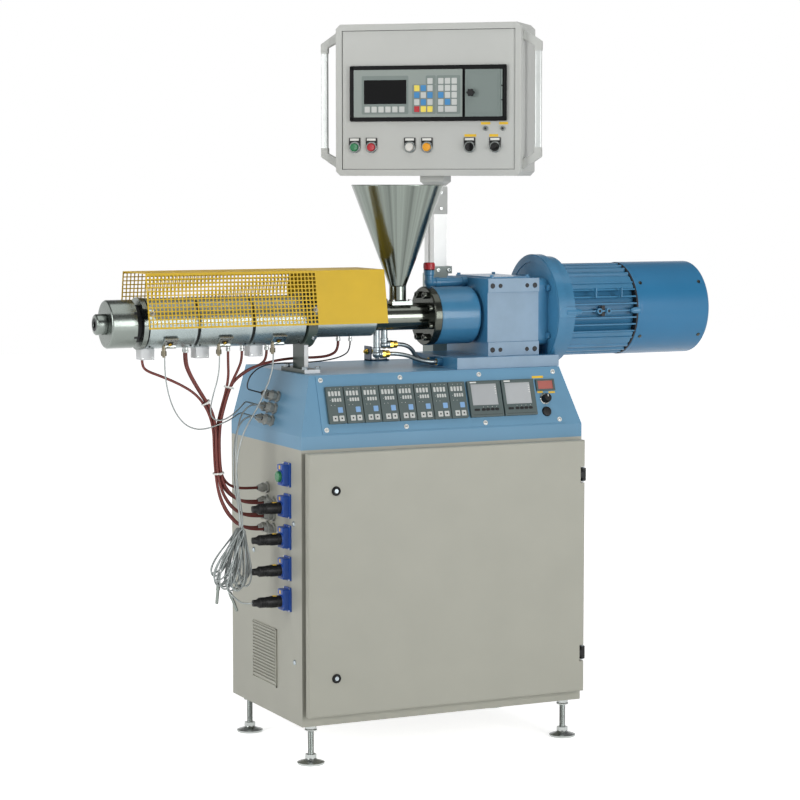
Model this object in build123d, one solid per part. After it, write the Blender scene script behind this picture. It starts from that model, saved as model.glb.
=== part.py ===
from build123d import *
import os
from math import atan2, cos, hypot, radians, sin, sqrt, tan

# A laboratory single-screw extruder on a switch cabinet, in millimetres.
# While it is built, X = 0 is the cabinet's left face, Y = 0 the front of its body and Z = 0 the floor.
# At the end everything moves so that the origin is the floor point under the middle of the machine.

# Clearances
touch_gap = 0.3  # round faces that sit in one another
pin_gap = 0.15  # a hinge pin in its knuckle
turn_gap = 0.5  # a turning piece beside its seat

# Switch cabinet
cabinet_width = 800.0
cabinet_depth = 470.0
cabinet_height = 700.0
foot_height = 102.0
sheet = 3.0
rim_width = 36.0
collar_height = 7.0
collar_wall = 4.0
foot_pad_radius = 35.0
foot_pad_height = 13.0
foot_stem_radius = 8.0
foot_nut_width = 26.0
foot_nut_height = 12.0
foot_inset_x = 36.0
foot_inset_y = 30.0

# Cabinet door
door_depth = 22.0
door_gap = 10.0
door_sheet = 2.5
door_side_margin = 6.0
door_top_margin = 7.0
door_bottom_margin = 28.0
door_corner = 5.0
hinge_from_top = 91.0
hinge_from_bottom = 102.0
hinge_pin_radius = 3.5
hinge_ear_radius = 8.0
hinge_ear_height = 8.0
hinge_knuckle_height = 16.0
hinge_plate = 4.0
hinge_pin_inset = 1.0
hinge_notch_gap = 5.0
lock_from_left = 74.0
lock_from_top = 95.0
lock_from_bottom = 96.0
lock_radius = 11.0
lock_height = 6.0

# Left side of the cabinet
socket_depth_y = 86.0
socket_top_z = 733.0
socket_pitch = 79.3
socket_count = 5
socket_width = 42.0
socket_height = 62.0
socket_base = 5.0
socket_body = 21.0
plug_radius = 15.0
plug_length = 74.0
plug_neck_radius = 9.0
plug_neck_length = 14.0
gland_top_z = 686.0
gland_pitch = 34.0
gland_rear_y = 219.0
gland_front_y = 178.0
gland_radius = 13.0
gland_flange = 6.0
gland_nut = 14.0
gland_nose = 10.0
vent_y = 242.0
vent_z = 249.0
vent_width = 160.0
vent_height = 152.0
vent_depth = 5.0
vent_slats = 9

# Hood over the cabinet
hood_lip = 33.5
hood_height = 182.0
hood_side_lean = 42.0
hood_front_lean = 47.5
hood_sheet = 3.0
plate_left = 58.0
plate_right = 748.0
plate_edge = 5.0
plate_thickness = 2.0
controller_left = 77.3
controller_bottom = 28.0
controller_width = 48.0
controller_height = 96.0
controller_pitch = 49.0
controller_count = 8
controller_depth = 9.0
display_left = 475.0
display_bottom = 28.0
display_size = 96.0
display_pitch = 98.5
meter_centre = (706.0, 107.0)
meter_width = 55.0
meter_height = 31.0
knob_centre = (701.0, 70.0)
knob_radius = 12.0
knob_height = 16.0
knob_collar_radius = 15.0
knob_collar_height = 3.0
blank_centre = (700.0, 36.0)
blank_radius = 13.0
blank_height = 5.0
sensor_gland_y = (202.0, 245.0)
sensor_gland_top = 919.0
sensor_gland_pitch = 30.5
sensor_gland_rows = 3

# Barrel, die and heaters along the screw axis
axis_y = 180.0
axis_z = 1118.0
nozzle_tip_x = -475.0
nozzle_length = 27.0
nozzle_radius = 26.0
nozzle_bore = 9.0
die_length = 67.0
die_radius = 60.0
die_channel_depth = 50.0
barrel_radius = 45.0
barrel_neck_length = 14.0
barrel_flange_length = 12.0
barrel_flange_radius = 65.0
band_gap = 7.0
band_lengths = (126.0, 139.0, 139.0)
band_radius = 64.0
station_pitch = 145.5  # from one terminal box and sensor clamp to the next
saddle_length = 25.0
saddle_radius = 72.0
jacket_length = 174.5
jacket_radius = 47.5
jacket_chamfer = 1.5
feed_length = 151.0
feed_radius = 35.0
flange_length = 21.0
flange_radius = 77.0
lantern_length = 115.0
lantern_radius = 75.0
lantern_round = 8.0
lantern_neck_length = 7.0
lantern_neck_radius = 52.0
box_length = 36.0
box_depth = 37.0
box_drop = 24.0
lead_sleeve_radius = 6.0
lead_sleeve_length = 12.0
clamp_width = 36.0
clamp_height = 34.0
clamp_thickness = 7.0
clamp_angle = 40.0
clamp_offset = 57.0
stub_radius = 5.0
stub_length = 27.0
stub_offset = 15.0
post_width = 72.0
post_thickness = 12.0
post_foot_width = 150.0
post_foot_length = 44.0
post_foot_thickness = 10.0

# Hopper
hopper_x = 351.0
hopper_plate_size = 58.0
hopper_plate_z = 1149.0
hopper_plate_thickness = 10.0
hopper_neck_radius = 22.0
hopper_neck_height = 39.0
hopper_rim_radius = 120.0
hopper_cone_height = 261.0
hopper_wall = 1.5
throat_depth = 39.0

# Barrel guard
guard_left_x = -371.0
guard_mesh_length = 454.0
guard_plate_length = 190.0
guard_top_z = 1245.0
guard_bottom_z = 1109.0
guard_top_width = 168.0
guard_bottom_width = 218.0
guard_sheet = 1.5
mesh_pitch = 10.0
mesh_hole = 7.2
mesh_border = 2.0
lug_length = 12.0
lug_z = 1144.0
lug_height = 26.0

# Gearbox and motor
base_left_x = 464.0
base_right_x = 764.0
base_front_y = 60.0
base_back_y = 325.0
base_thickness = 30.0
gearbox_length = 151.0
gearbox_front_y = 85.0
gearbox_depth = 240.0
gearbox_height = 202.0
gearbox_band = 36.0
gearbox_band_rise = 4.0
gearbox_lid_rise = 4.0
gearbox_lid_inset = 18.0
motor_axis_z = 1126.0
adapter_length = 31.0
adapter_size = 176.0
adapter_round = 22.0
disc_length = 22.0
disc_radius = 149.0
disc_clearance = 2.0
bell_length = 29.0
bell_radius = 143.0
motor_length = 205.0
motor_core_radius = 104.0
motor_fin_radius = 123.0
fin_thickness = 4.0
fin_pitch = 18.5
fin_rows = 9
shield_length = 10.0
cover_length = 225.0
cover_radius = 124.5
cover_sheet = 2.5
cover_round = 10.0
filler_x = 459.0
filler_y = 214.0
filler_pipe_radius = 12.0
filler_pipe_z = 1204.0
filler_top_z = 1236.0
filler_cap_radius = 15.5
filler_cap_height = 20.0

# Cooling water fittings under the feed section
nipple_x = (290.0, 312.0)
nipple_y = 180.0
nipple_radius = 9.0
elbow_z = 1022.0
elbow_step = 24.0
elbow_bend = 14.0
coupling_length = 22.0
coupling_radius = 11.0
water_block_x = 388.0
water_block_y = 428.0
water_block_width = 56.0
water_block_height = 40.0
water_block_sheet = 4.0
water_block_foot = 42.0
hose_diameter = 11.0
hose_port_radius = 11.0
hose_port_height = 16.0

# Column that carries the control panel
post_x = 588.0
post_y = 437.0
column_width = 38.0
column_depth = 58.0
column_groove = 12.0
column_groove_depth = 6.0
collar_top_z = 1238.0
collar_thickness = 20.0
collar_size_x = 54.0
collar_offset_x = 7.0
collar_size_y = 66.0
pedestal_size_x = 46.0
pedestal_size_y = 64.0
sleeve_bottom_z = 1379.0
sleeve_top_z = 1455.0
sleeve_wall = 2.0
coupling_height = 28.0
coupling_width = 66.0
coupling_depth = 80.0
coupling_chamfer = 12.0

# Control panel on its swivel
panel_turn = -41.2
panel_width = 515.0
panel_height = 407.0
panel_depth = 168.0
panel_front = 85.0
panel_frame = 17.0
panel_recess = 3.0
panel_corner = 12.0
handle_reach = 50.0
handle_bar = 20.0
handle_bar_depth = 16.0
handle_setback = 22.0
handle_margin = 17.0
handle_bracket = 34.0
unit_left = -217.0
unit_right = 218.0
unit_bottom = 146.0
unit_top = 295.0
unit_depth = 8.0
unit_frame = 11.0
flap_left = 104.5
flap_right = 204.0
flap_bottom = 157.5
flap_top = 283.5
flap_thickness = 4.0
flap_knob_u = 122.0
flap_knob_z = 221.0
flap_knob_radius = 11.0
flap_knob_height = 15.0
flap_pin_radius = 1.5
button_row_z = 77.0
button_places = {"green": -205.0, "red": -157.5, "white": -50.0, "amber": -2.0}
button_bezel_radius = 15.0
button_bezel_height = 4.0
button_cap_radius = 11.0
button_cap_height = 6.0
button_travel = 4.0
button_well = 8.0
selector_places = {"left": 116.0, "right": 186.0}
selector_turns = {"left": 0.0, "right": 114.0}
selector_height = 14.0
selector_grip = 8.0
socket_row_z = 126.0
socket_places = (160.0, 207.0)
small_socket_radius = 6.0
small_socket_height = 4.0

# Cables
heater_cable = 7.0
cable_y = 185.0
sensor_lead = 3.6
hank_width = 114.0
hank_height = 168.0
hank_thickness = 42.0
hank_centre = (-130.0, 146.0, 513.0)
hank_round = 12.0
hank_neck_width = 24.0
hank_neck_height = 14.0
probe_radius = 5.0
probe_length = 54.0
mouth_run = 28.0  # how far a lead runs straight out of its gland

# Places that follow from the sizes above
cabinet_top = foot_height + cabinet_height
lip_top = cabinet_top + hood_lip
hood_top = cabinet_top + hood_height
die_x = nozzle_tip_x + nozzle_length
barrel_x = die_x + die_length
front_flange_x = barrel_x + barrel_neck_length
band_x = front_flange_x + barrel_flange_length + band_gap / 2
band_starts = [band_x + sum(band_lengths[:i]) + i * band_gap for i in range(len(band_lengths))]
saddle_x = band_starts[-1] + band_lengths[-1] + band_gap / 2
jacket_x = saddle_x + saddle_length + band_gap / 2
feed_x = jacket_x + jacket_length
flange_x = feed_x + feed_length
lantern_x = flange_x + flange_length
gearbox_x = lantern_x + lantern_length + lantern_neck_length
gearbox_bottom = hood_top + base_thickness
gearbox_top = gearbox_bottom + gearbox_height
disc_x = gearbox_x + gearbox_length + adapter_length
motor_x = disc_x + disc_length + bell_length
cover_x = motor_x + motor_length
panel_bottom = sleeve_top_z + coupling_height
gland_length = gland_flange + gland_nut + gland_nose

nodes = {}
cords = []


def block(x, y, z):
    """A box from its lowest and highest value along each axis."""
    size = Box(x[1] - x[0], y[1] - y[0], z[1] - z[0])
    return Pos(sum(x) / 2, sum(y) / 2, sum(z) / 2) * size


def shaft(x0, x1, radius, y=axis_y, z=axis_z):
    """A round bar along X."""
    return Pos((x0 + x1) / 2, y, z) * Rot(0, 90, 0) * Cylinder(radius, x1 - x0)


def ring(x0, x1, outer, inner, y=axis_y, z=axis_z):
    """A tube along X."""
    return shaft(x0, x1, outer, y, z) - shaft(x0, x1, inner, y, z)


def stand(x, y, z0, z1, radius):
    """A round bar along Z."""
    return Pos(x, y, (z0 + z1) / 2) * Cylinder(radius, z1 - z0)


def hexagon(plane, width, height, lift=0.0):
    """A hexagonal bar on a plane, by its width across flats."""
    outline = plane * Pos(0, 0, lift) * RegularPolygon(width / sqrt(3), 6)
    return extrude(outline, amount=height, dir=plane.z_dir)


def disc_on(plane, u, v, radius, height, lift=0.0):
    """A round boss on a plane."""
    return extrude(plane * Pos(u, v, lift) * Circle(radius), amount=height, dir=plane.z_dir)


def slab_on(plane, u, v, height, lift=0.0):
    """A rectangular plate on a plane, from its lowest and highest place along each side."""
    outline = plane * Pos(sum(u) / 2, sum(v) / 2, lift) * Rectangle(u[1] - u[0], v[1] - v[0])
    return extrude(outline, amount=height, dir=plane.z_dir)


def cable_gland(plane):
    """A cable gland: hexagonal flange, hexagonal nut and a tapered nose that ends flat."""
    body = hexagon(plane, 2 * gland_radius, gland_flange)
    body += disc_on(plane, 0, 0, 0.75 * gland_radius, gland_nut, gland_flange)
    body += hexagon(plane, 1.7 * gland_radius, 0.7 * gland_nut, gland_flange + 0.3 * gland_nut)
    nose = loft([plane * Pos(0, 0, gland_flange + gland_nut) * Circle(0.7 * gland_radius),
                 plane * Pos(0, 0, gland_length) * Circle(0.5 * gland_radius)])
    return body + nose


# Cabinet body: sides, floor and roof, back, and the rim that the door closes on
inside_x = (sheet, cabinet_width - sheet)
inside_z = (foot_height + sheet, cabinet_top - sheet)
full_y = (0, cabinet_depth)
full_z = (foot_height, cabinet_top)
nodes["cabinet_side_walls"] = [
    block((0, sheet), full_y, full_z),
    block((cabinet_width - sheet, cabinet_width), full_y, full_z),
]
deck_y = (0, cabinet_depth - sheet)
nodes["cabinet_decks"] = [
    block(inside_x, deck_y, (foot_height, inside_z[0])),
    block(inside_x, deck_y, (inside_z[1], cabinet_top)),
]
nodes["cabinet_back_wall"] = block(inside_x, (cabinet_depth - sheet, cabinet_depth), full_z)


def inset(span, amount):
    return (span[0] + amount, span[1] - amount)


door_z = (foot_height + door_bottom_margin, cabinet_top - door_top_margin)
hole_x = inset(inside_x, rim_width)
hole_z = inset(door_z, rim_width)
collar = block(inset(hole_x, -collar_wall), (-collar_height, sheet), inset(hole_z, -collar_wall))
rim = block(inside_x, (0, sheet), inside_z) + collar
nodes["cabinet_front_rim"] = rim - block(hole_x, (-2 * collar_height, 2 * sheet), hole_z)

# Levelling feet: pad, lock nut, threaded stem and the nut under the cabinet
feet = []
for foot_x in (foot_inset_x, cabinet_width - foot_inset_x):
    for foot_y in (foot_inset_y, cabinet_depth - foot_inset_y):
        pad = stand(foot_x, foot_y, 0, foot_pad_height, foot_pad_radius)
        pad = chamfer(pad.edges().group_by(Axis.Z)[-1], foot_pad_height / 2)
        stem = stand(foot_x, foot_y, foot_pad_height, foot_height, foot_stem_radius)
        low = Plane((foot_x, foot_y, foot_pad_height))
        high = Plane((foot_x, foot_y, foot_height - foot_nut_height))
        nuts = hexagon(low, foot_nut_width, foot_nut_height) + hexagon(high, foot_nut_width, foot_nut_height)
        feet.append(pad + stem + nuts)
nodes["levelling_feet"] = feet

# Door: a folded tray that hangs on two hinges, which sit in notches of its right edge
door_x = inset((0, cabinet_width), door_side_margin)
door_y = (-door_gap - door_depth, -door_gap)
door_block = block(door_x, door_y, door_z)
door_block = fillet(door_block.faces().sort_by(Axis.Y)[0].edges(), door_corner)
pocket = block(inset(door_x, door_sheet), (door_y[0] + door_sheet, 0), inset(door_z, door_sheet))
door = door_block - pocket

pin_x = door_x[1] - hinge_pin_inset
pin_y = -door_gap - door_depth / 2
ear_x = (pin_x - hinge_ear_radius, pin_x + hinge_ear_radius)
notch_left = ear_x[0] - hinge_notch_gap
hinge_half = hinge_knuckle_height / 2 + turn_gap + hinge_ear_height
hinge_brackets = []
door_hinges = []
for hinge_z in (door_z[0] + hinge_from_bottom, door_z[1] - hinge_from_top):
    span = (hinge_z - hinge_half, hinge_z + hinge_half)
    notch_z = inset(span, -hinge_notch_gap)
    door += block((notch_left - door_sheet, door_x[1]), door_y, inset(notch_z, -door_sheet)) & door_block
    door -= block((notch_left, cabinet_width), (door_y[0] - door_sheet, 0), notch_z)
    wall_plate = block((ear_x[0], cabinet_width), (-hinge_plate, 0), span)
    bracket = wall_plate + stand(pin_x, pin_y, span[0], span[1], hinge_pin_radius)
    for ear_z in ((span[0], span[0] + hinge_ear_height), (span[1] - hinge_ear_height, span[1])):
        bracket += block(ear_x, (pin_y, -hinge_plate), ear_z)
        bracket += stand(pin_x, pin_y, ear_z[0], ear_z[1], hinge_ear_radius)
    hinge_brackets.append(bracket)
    knuckle_z = (hinge_z - hinge_knuckle_height / 2, hinge_z + hinge_knuckle_height / 2)
    knuckle = block((notch_left, pin_x), inset(door_y, 3), knuckle_z)
    knuckle += stand(pin_x, pin_y, knuckle_z[0], knuckle_z[1], hinge_ear_radius)
    knuckle -= stand(pin_x, pin_y, knuckle_z[0], knuckle_z[1], hinge_pin_radius + pin_gap)
    door_hinges.append(knuckle)
nodes["cabinet_door"] = door
nodes["hinge_brackets"] = hinge_brackets
nodes["door_hinges"] = door_hinges

lock_x = door_x[0] + lock_from_left
locks = []
for lock_z in (door_z[0] + lock_from_bottom, door_z[1] - lock_from_top):
    face = Plane((lock_x, door_y[0], lock_z), x_dir=(1, 0, 0), z_dir=(0, -1, 0))
    lock = disc_on(face, 0, 0, lock_radius, lock_height)
    lock = chamfer(lock.edges().group_by(Axis.Y)[0], lock_height / 3)
    slot = disc_on(face, 0, 0, lock_radius / 2, lock_height, lock_height / 2)
    locks.append(lock - slot)
nodes["door_locks"] = locks

# Left side: five power sockets, four plugs, seven cable glands and a louvred vent
sockets = []
plugs = []
for i in range(socket_count):
    centre = (0, socket_depth_y, socket_top_z - i * socket_pitch)
    wall = Plane(centre, x_dir=(0, -1, 0), z_dir=(-1, 0, 0))
    half_w = socket_width / 2
    half_h = socket_height / 2
    outlet = slab_on(wall, (-half_w, half_w), (-half_h, half_h), socket_base)
    outlet += slab_on(wall, inset((-half_w, half_w), 3), inset((-half_h, half_h), 4), socket_body)
    outlet -= disc_on(wall, 0, -4, plug_radius + touch_gap, socket_body, socket_body / 2)
    sockets.append(outlet)
    if i > 0:
        plug = disc_on(wall, 0, -4, plug_radius, plug_length, socket_body / 2)
        plug += disc_on(wall, 0, -4, plug_neck_radius, plug_neck_length, socket_body / 2 + plug_length)
        plugs.append(plug)
nodes["side_sockets"] = sockets
nodes["heater_plugs"] = plugs
plug_tip_x = -socket_body / 2 - plug_length - plug_neck_length

gland_places = [(gland_rear_y, gland_top_z - i * gland_pitch) for i in range(4)]
gland_places += [(gland_front_y, gland_top_z - i * gland_pitch) for i in range(1, 4)]
glands = [cable_gland(Plane((0, y, z), x_dir=(0, -1, 0), z_dir=(-1, 0, 0))) for y, z in gland_places]

vent_wall = Plane((0, vent_y, vent_z), x_dir=(0, -1, 0), z_dir=(-1, 0, 0))
half_w = vent_width / 2
half_h = vent_height / 2
vent = slab_on(vent_wall, (-half_w, half_w), (-half_h, half_h), vent_depth / 2)
slat_pitch = vent_height / vent_slats
for i in range(vent_slats):
    low = -half_h + (i + 0.25) * slat_pitch
    vent += slab_on(vent_wall, inset((-half_w, half_w), 6), (low, low + slat_pitch / 2), vent_depth)
nodes["side_vent"] = vent


# Hood: a folded sheet cover with a vertical lip, leaning sides and a leaning front
def hood_form(wall):
    base_outline = Rectangle(cabinet_width - 2 * wall, cabinet_depth - 2 * wall)
    base = Pos(cabinet_width / 2, cabinet_depth / 2) * base_outline
    top_width = cabinet_width - 2 * hood_side_lean - 2 * wall
    top_depth = cabinet_depth - hood_front_lean - 2 * wall
    top = Pos(cabinet_width / 2, cabinet_depth - wall - top_depth / 2) * Rectangle(top_width, top_depth)
    lower = extrude(Pos(0, 0, cabinet_top) * base, amount=hood_lip)
    upper = loft([Pos(0, 0, lip_top) * base, Pos(0, 0, hood_top - wall) * top], ruled=True)
    return lower + upper


nodes["hood"] = hood_form(0) - hood_form(hood_sheet)

# Instruments on the hood's leaning front
slope_rise = hood_height - hood_lip
slope_length = hypot(hood_front_lean, slope_rise)
slope = Plane((0, 0, lip_top), x_dir=(1, 0, 0), z_dir=(0, -slope_rise, hood_front_lean))
nodes["instrument_plate"] = slab_on(
    slope, (plate_left, plate_right), (plate_edge, slope_length - plate_edge), plate_thickness
)
controllers = []
for i in range(controller_count):
    left = controller_left + i * controller_pitch
    case = slab_on(
        slope,
        (left, left + controller_width),
        (controller_bottom, controller_bottom + controller_height),
        controller_depth,
        plate_thickness,
    )
    controllers.append(case)
nodes["temperature_controllers"] = controllers
displays = []
for i in range(2):
    left = display_left + i * display_pitch
    rows = (display_bottom, display_bottom + display_size)
    displays.append(slab_on(slope, (left, left + display_size), rows, controller_depth, plate_thickness))
meter_u = (meter_centre[0] - meter_width / 2, meter_centre[0] + meter_width / 2)
meter_v = (meter_centre[1] - meter_height / 2, meter_centre[1] + meter_height / 2)
displays.append(slab_on(slope, meter_u, meter_v, controller_depth / 2, plate_thickness))
displays.append(disc_on(slope, *blank_centre, blank_radius, blank_height, plate_thickness))
nodes["panel_displays"] = displays
knob = disc_on(slope, *knob_centre, knob_collar_radius, knob_collar_height, plate_thickness + touch_gap)
knob_lift = plate_thickness + touch_gap + knob_collar_height
knob += disc_on(slope, *knob_centre, knob_radius, knob_height, knob_lift)
nodes["speed_knob"] = knob

# Sensor glands on the hood's leaning left side, in two columns
side_lean = atan2(hood_side_lean, slope_rise)
side_normal = (-cos(side_lean), 0, sin(side_lean))
mouths = []
for y in sensor_gland_y:
    for i in range(sensor_gland_rows):
        z = sensor_gland_top - i * sensor_gland_pitch
        seat = Plane(((z - lip_top) * tan(side_lean), y, z), x_dir=(0, -1, 0), z_dir=side_normal)
        glands.append(cable_gland(seat))
        mouths.append([(seat * Pos(0, 0, gland_length + reach)).position for reach in (0, mouth_run)])
nodes["cable_glands"] = glands

# Nozzle and die head with one melt channel
channel = shaft(nozzle_tip_x, die_x + die_channel_depth, nozzle_bore)
nozzle = shaft(nozzle_tip_x, die_x, nozzle_radius)
nozzle = chamfer(nozzle.edges().group_by(Axis.X)[0], 2)
nodes["nozzle"] = nozzle - channel
die_head = shaft(die_x, barrel_x, die_radius)
die_head = chamfer(die_head.edges().group_by(Axis.X)[0], 3)
nodes["die_head"] = die_head - channel

# Guard form: an inverted trough with leaning sides, used for the sheets and for what reaches them
guard_mesh_end = guard_left_x + guard_mesh_length
guard_end = guard_mesh_end + guard_plate_length


def trough(x0, x1, wall):
    """The guard's cross-section, shrunk by a wall, as a prism along X."""
    top = guard_top_z - wall
    half_top = guard_top_width / 2 - wall
    half_low = guard_bottom_width / 2 - wall
    corners = [(-half_low, guard_bottom_z), (-half_top, top), (half_top, top), (half_low, guard_bottom_z)]
    across_x = Plane((x0, axis_y, 0), x_dir=(0, 1, 0), z_dir=(1, 0, 0))
    section = across_x * make_face(Polyline(*corners, close=True))
    return extrude(section, amount=x1 - x0, dir=(1, 0, 0))


def guard_lugs(x0, radius):
    """Two arms from a ring on the barrel to the guard's sides."""
    arms = block((x0, x0 + lug_length), (0, 2 * axis_y), (lug_z - lug_height / 2, lug_z + lug_height / 2))
    arms &= trough(x0, x0 + lug_length, guard_sheet)
    return arms - shaft(x0, x0 + lug_length, radius)


# Barrel with its front flange, and the heater bands round it
barrel = shaft(barrel_x, feed_x, barrel_radius)
barrel += shaft(front_flange_x, front_flange_x + barrel_flange_length, barrel_flange_radius)
nodes["barrel"] = barrel + guard_lugs(front_flange_x, barrel_radius)

lead_places = ((-236.0, -6.6), (-236.0, 6.6), (-121.0, 0.0), (-86.0, -6.6), (-16.0, 0.0))
band_core = shaft(band_x, feed_x, band_radius + touch_gap)
bands = []
boxes = []
clamps = []
clamp_turn = radians(clamp_angle)
for i, start in enumerate(band_starts):
    end = start + band_lengths[i]
    band = ring(start, end, band_radius, barrel_radius + touch_gap)
    for lead_x, lead_dy in lead_places:
        if start < lead_x < end:
            low = axis_z - band_radius - lead_sleeve_length
            sleeve = stand(lead_x, cable_y + lead_dy, low, axis_z, lead_sleeve_radius)
            band += sleeve - shaft(start, end, band_radius - 1)
    bands.append(band)
    x0 = band_x + i * station_pitch
    box_z = (axis_z - band_radius - box_drop, axis_z)
    box = block((x0, x0 + box_length), (axis_y, axis_y + box_depth), box_z)
    boxes.append(box - band_core)
    out = (0, -cos(clamp_turn), -sin(clamp_turn))
    seat_radius = band_radius + touch_gap
    seat_y = axis_y + seat_radius * out[1]
    seat_z = axis_z + seat_radius * out[2]
    tangent = Plane((x0 + clamp_offset, seat_y, seat_z), x_dir=(1, 0, 0), z_dir=out)
    span = (-clamp_width / 2, clamp_width / 2)
    clamp = slab_on(tangent, span, (-clamp_height / 2, clamp_height / 2), clamp_thickness)
    stub_top = seat_z - clamp_height / 2 * cos(clamp_turn) + clamp_thickness / 2 * out[2]
    stub_y = seat_y + clamp_height / 2 * sin(clamp_turn) + clamp_thickness / 2 * out[1]
    clamp += stand(x0 + clamp_offset - stub_offset, stub_y, stub_top - stub_length, stub_top + 3, stub_radius)
    clamps.append(clamp - band_core)
nodes["heater_bands"] = bands
nodes["terminal_boxes"] = boxes
nodes["sensor_clamps"] = clamps

# Saddle, upright plate and foot that carry the barrel on the hood
saddle = ring(saddle_x, saddle_x + saddle_length, saddle_radius, barrel_radius + touch_gap)
saddle += guard_lugs(saddle_x, barrel_radius + touch_gap)
foot_z = (hood_top, hood_top + post_foot_thickness)
post_y_span = (axis_y - post_width / 2, axis_y + post_width / 2)
upright = block((saddle_x, saddle_x + post_thickness), post_y_span, (foot_z[1], axis_z - barrel_radius))
upright -= shaft(saddle_x, saddle_x + saddle_length, barrel_radius + touch_gap)
foot_x = saddle_x + post_thickness / 2
foot_span = (foot_x - post_foot_length / 2, foot_x + post_foot_length / 2)
foot_plate = block(foot_span, (axis_y - post_foot_width / 2, axis_y + post_foot_width / 2), foot_z)
nodes["barrel_support"] = saddle + upright + foot_plate

# Jacket on the rear of the barrel, feed section with its throat, and the bolted flange
jacket = ring(jacket_x, feed_x, jacket_radius, barrel_radius + touch_gap)
jacket = chamfer(jacket.edges().group_by(Axis.X)[-1].sort_by(SortBy.LENGTH)[-1], jacket_chamfer)
for outlet_x, outlet_y, radius in ((190.0, 200.0, lead_sleeve_radius), (215.0, axis_y, stub_radius)):
    low = axis_z - jacket_radius - lead_sleeve_length
    jacket += stand(outlet_x, outlet_y, low, axis_z, radius) - shaft(jacket_x, feed_x, jacket_radius - 1)
nodes["barrel_jacket"] = jacket
feed = shaft(feed_x, flange_x, feed_radius)
seat_half = hopper_plate_size / 2
seat_x = (hopper_x - seat_half, hopper_x + seat_half)
seat_y = (axis_y - seat_half, axis_y + seat_half)
feed -= block(inset(seat_x, -2), inset(seat_y, -20), (hopper_plate_z, hopper_plate_z + feed_radius))
throat_radius = hopper_neck_radius - hopper_wall
throat_bottom = hopper_plate_z - throat_depth
nodes["feed_section"] = feed - stand(hopper_x, axis_y, throat_bottom, axis_z + 60, throat_radius)
nodes["barrel_flange"] = shaft(flange_x, lantern_x, flange_radius)

# Hopper: seat plate, neck and cone, one thin weldment
plate_top = hopper_plate_z + hopper_plate_thickness
cone_z = plate_top + hopper_neck_height
rim_z = cone_z + hopper_cone_height
outside = [(hopper_neck_radius, plate_top), (hopper_neck_radius, cone_z), (hopper_rim_radius, rim_z)]
inside = [(hopper_rim_radius - hopper_wall, rim_z), (throat_radius, cone_z), (throat_radius, plate_top)]
wall_section = Plane.XZ * make_face(Polyline(*outside, *inside, close=True))
cone = Pos(hopper_x, axis_y, 0) * revolve(wall_section, Axis.Z)
plate = block(seat_x, seat_y, (hopper_plate_z, plate_top))
plate -= stand(hopper_x, axis_y, hopper_plate_z, plate_top, throat_radius)
nodes["hopper"] = plate + cone


# Guard: perforated sheets over the heaters, plain sheet over the jacket
def perforated(plane, length, height, direction):
    """A sheet with square holes, its lower left corner on the plane's origin."""
    columns = int((length - 2 * mesh_border) / mesh_pitch)
    rows = int((height - 2 * mesh_border) / mesh_pitch)
    left = (length - (columns - 1) * mesh_pitch) / 2
    low = (height - (rows - 1) * mesh_pitch) / 2
    outline = plane * Pos(length / 2, height / 2) * Rectangle(length, height)
    hole = Rectangle(mesh_hole, mesh_hole)
    holes = [
        (plane * Pos(left + i * mesh_pitch, low + j * mesh_pitch) * hole).wire()
        for i in range(columns)
        for j in range(rows)
    ]
    return extrude(Face(outline.wire(), holes), amount=guard_sheet, dir=direction)


side_rise = guard_top_z - guard_sheet - guard_bottom_z
side_drift = (guard_bottom_width - guard_top_width) / 2 * side_rise / (guard_top_z - guard_bottom_z)
side_length = hypot(side_rise, side_drift)
front_foot = (guard_left_x, axis_y - guard_bottom_width / 2, guard_bottom_z)
front_side = Plane(front_foot, x_dir=(1, 0, 0), z_dir=(0, -side_rise, side_drift))
nodes["guard_mesh_front"] = perforated(front_side, guard_mesh_length, side_length, (0, 1, 0))
rear_foot = (guard_left_x, axis_y + guard_bottom_width / 2, guard_bottom_z)
rear_side = Plane(rear_foot, x_dir=(1, 0, 0), z_dir=(0, -side_rise, -side_drift))
nodes["guard_mesh_rear"] = perforated(rear_side, guard_mesh_length, side_length, (0, -1, 0))
top_corner = (guard_left_x, axis_y - guard_top_width / 2, guard_top_z)
nodes["guard_mesh_top"] = perforated(Plane(top_corner), guard_mesh_length, guard_top_width, (0, 0, -1))
nodes["guard_plate"] = trough(guard_mesh_end, guard_end, 0) - trough(guard_mesh_end, guard_end, guard_sheet)

# Bearing lantern, gearbox and its base plate
lantern_end = lantern_x + lantern_length
lantern = shaft(lantern_x, lantern_end, lantern_radius)
lantern = fillet(lantern.edges().group_by(Axis.X)[-1], lantern_round)
nodes["bearing_lantern"] = lantern + shaft(lantern_end, gearbox_x, lantern_neck_radius)
base_span_y = (base_front_y, base_back_y)
gear_base = block((base_left_x, base_right_x), base_span_y, (hood_top, gearbox_bottom))
hose_ends_y = (150.0, 195.0)
hose_port_z = hood_top + base_thickness / 2
for y in hose_ends_y:
    gear_base += shaft(base_left_x - hose_port_height, base_left_x, hose_port_radius, y, hose_port_z)
notch_x = (disc_x - disc_clearance / 2, base_right_x + disc_clearance)
gear_base -= shaft(*notch_x, disc_radius + disc_clearance / 2, z=motor_axis_z)
nodes["gearbox_base"] = gear_base
gear_x = (gearbox_x, gearbox_x + gearbox_length)
gear_y = (gearbox_front_y, gearbox_front_y + gearbox_depth)
gear_body = block(gear_x, inset(gear_y, gearbox_band_rise), (gearbox_bottom, gearbox_top))
gear_body += block(gear_x, gear_y, (gearbox_bottom, gearbox_bottom + gearbox_band))
gear_body += block(gear_x, gear_y, (gearbox_top - gearbox_band, gearbox_top))
lid_z = (gearbox_top, gearbox_top + gearbox_lid_rise)
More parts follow.
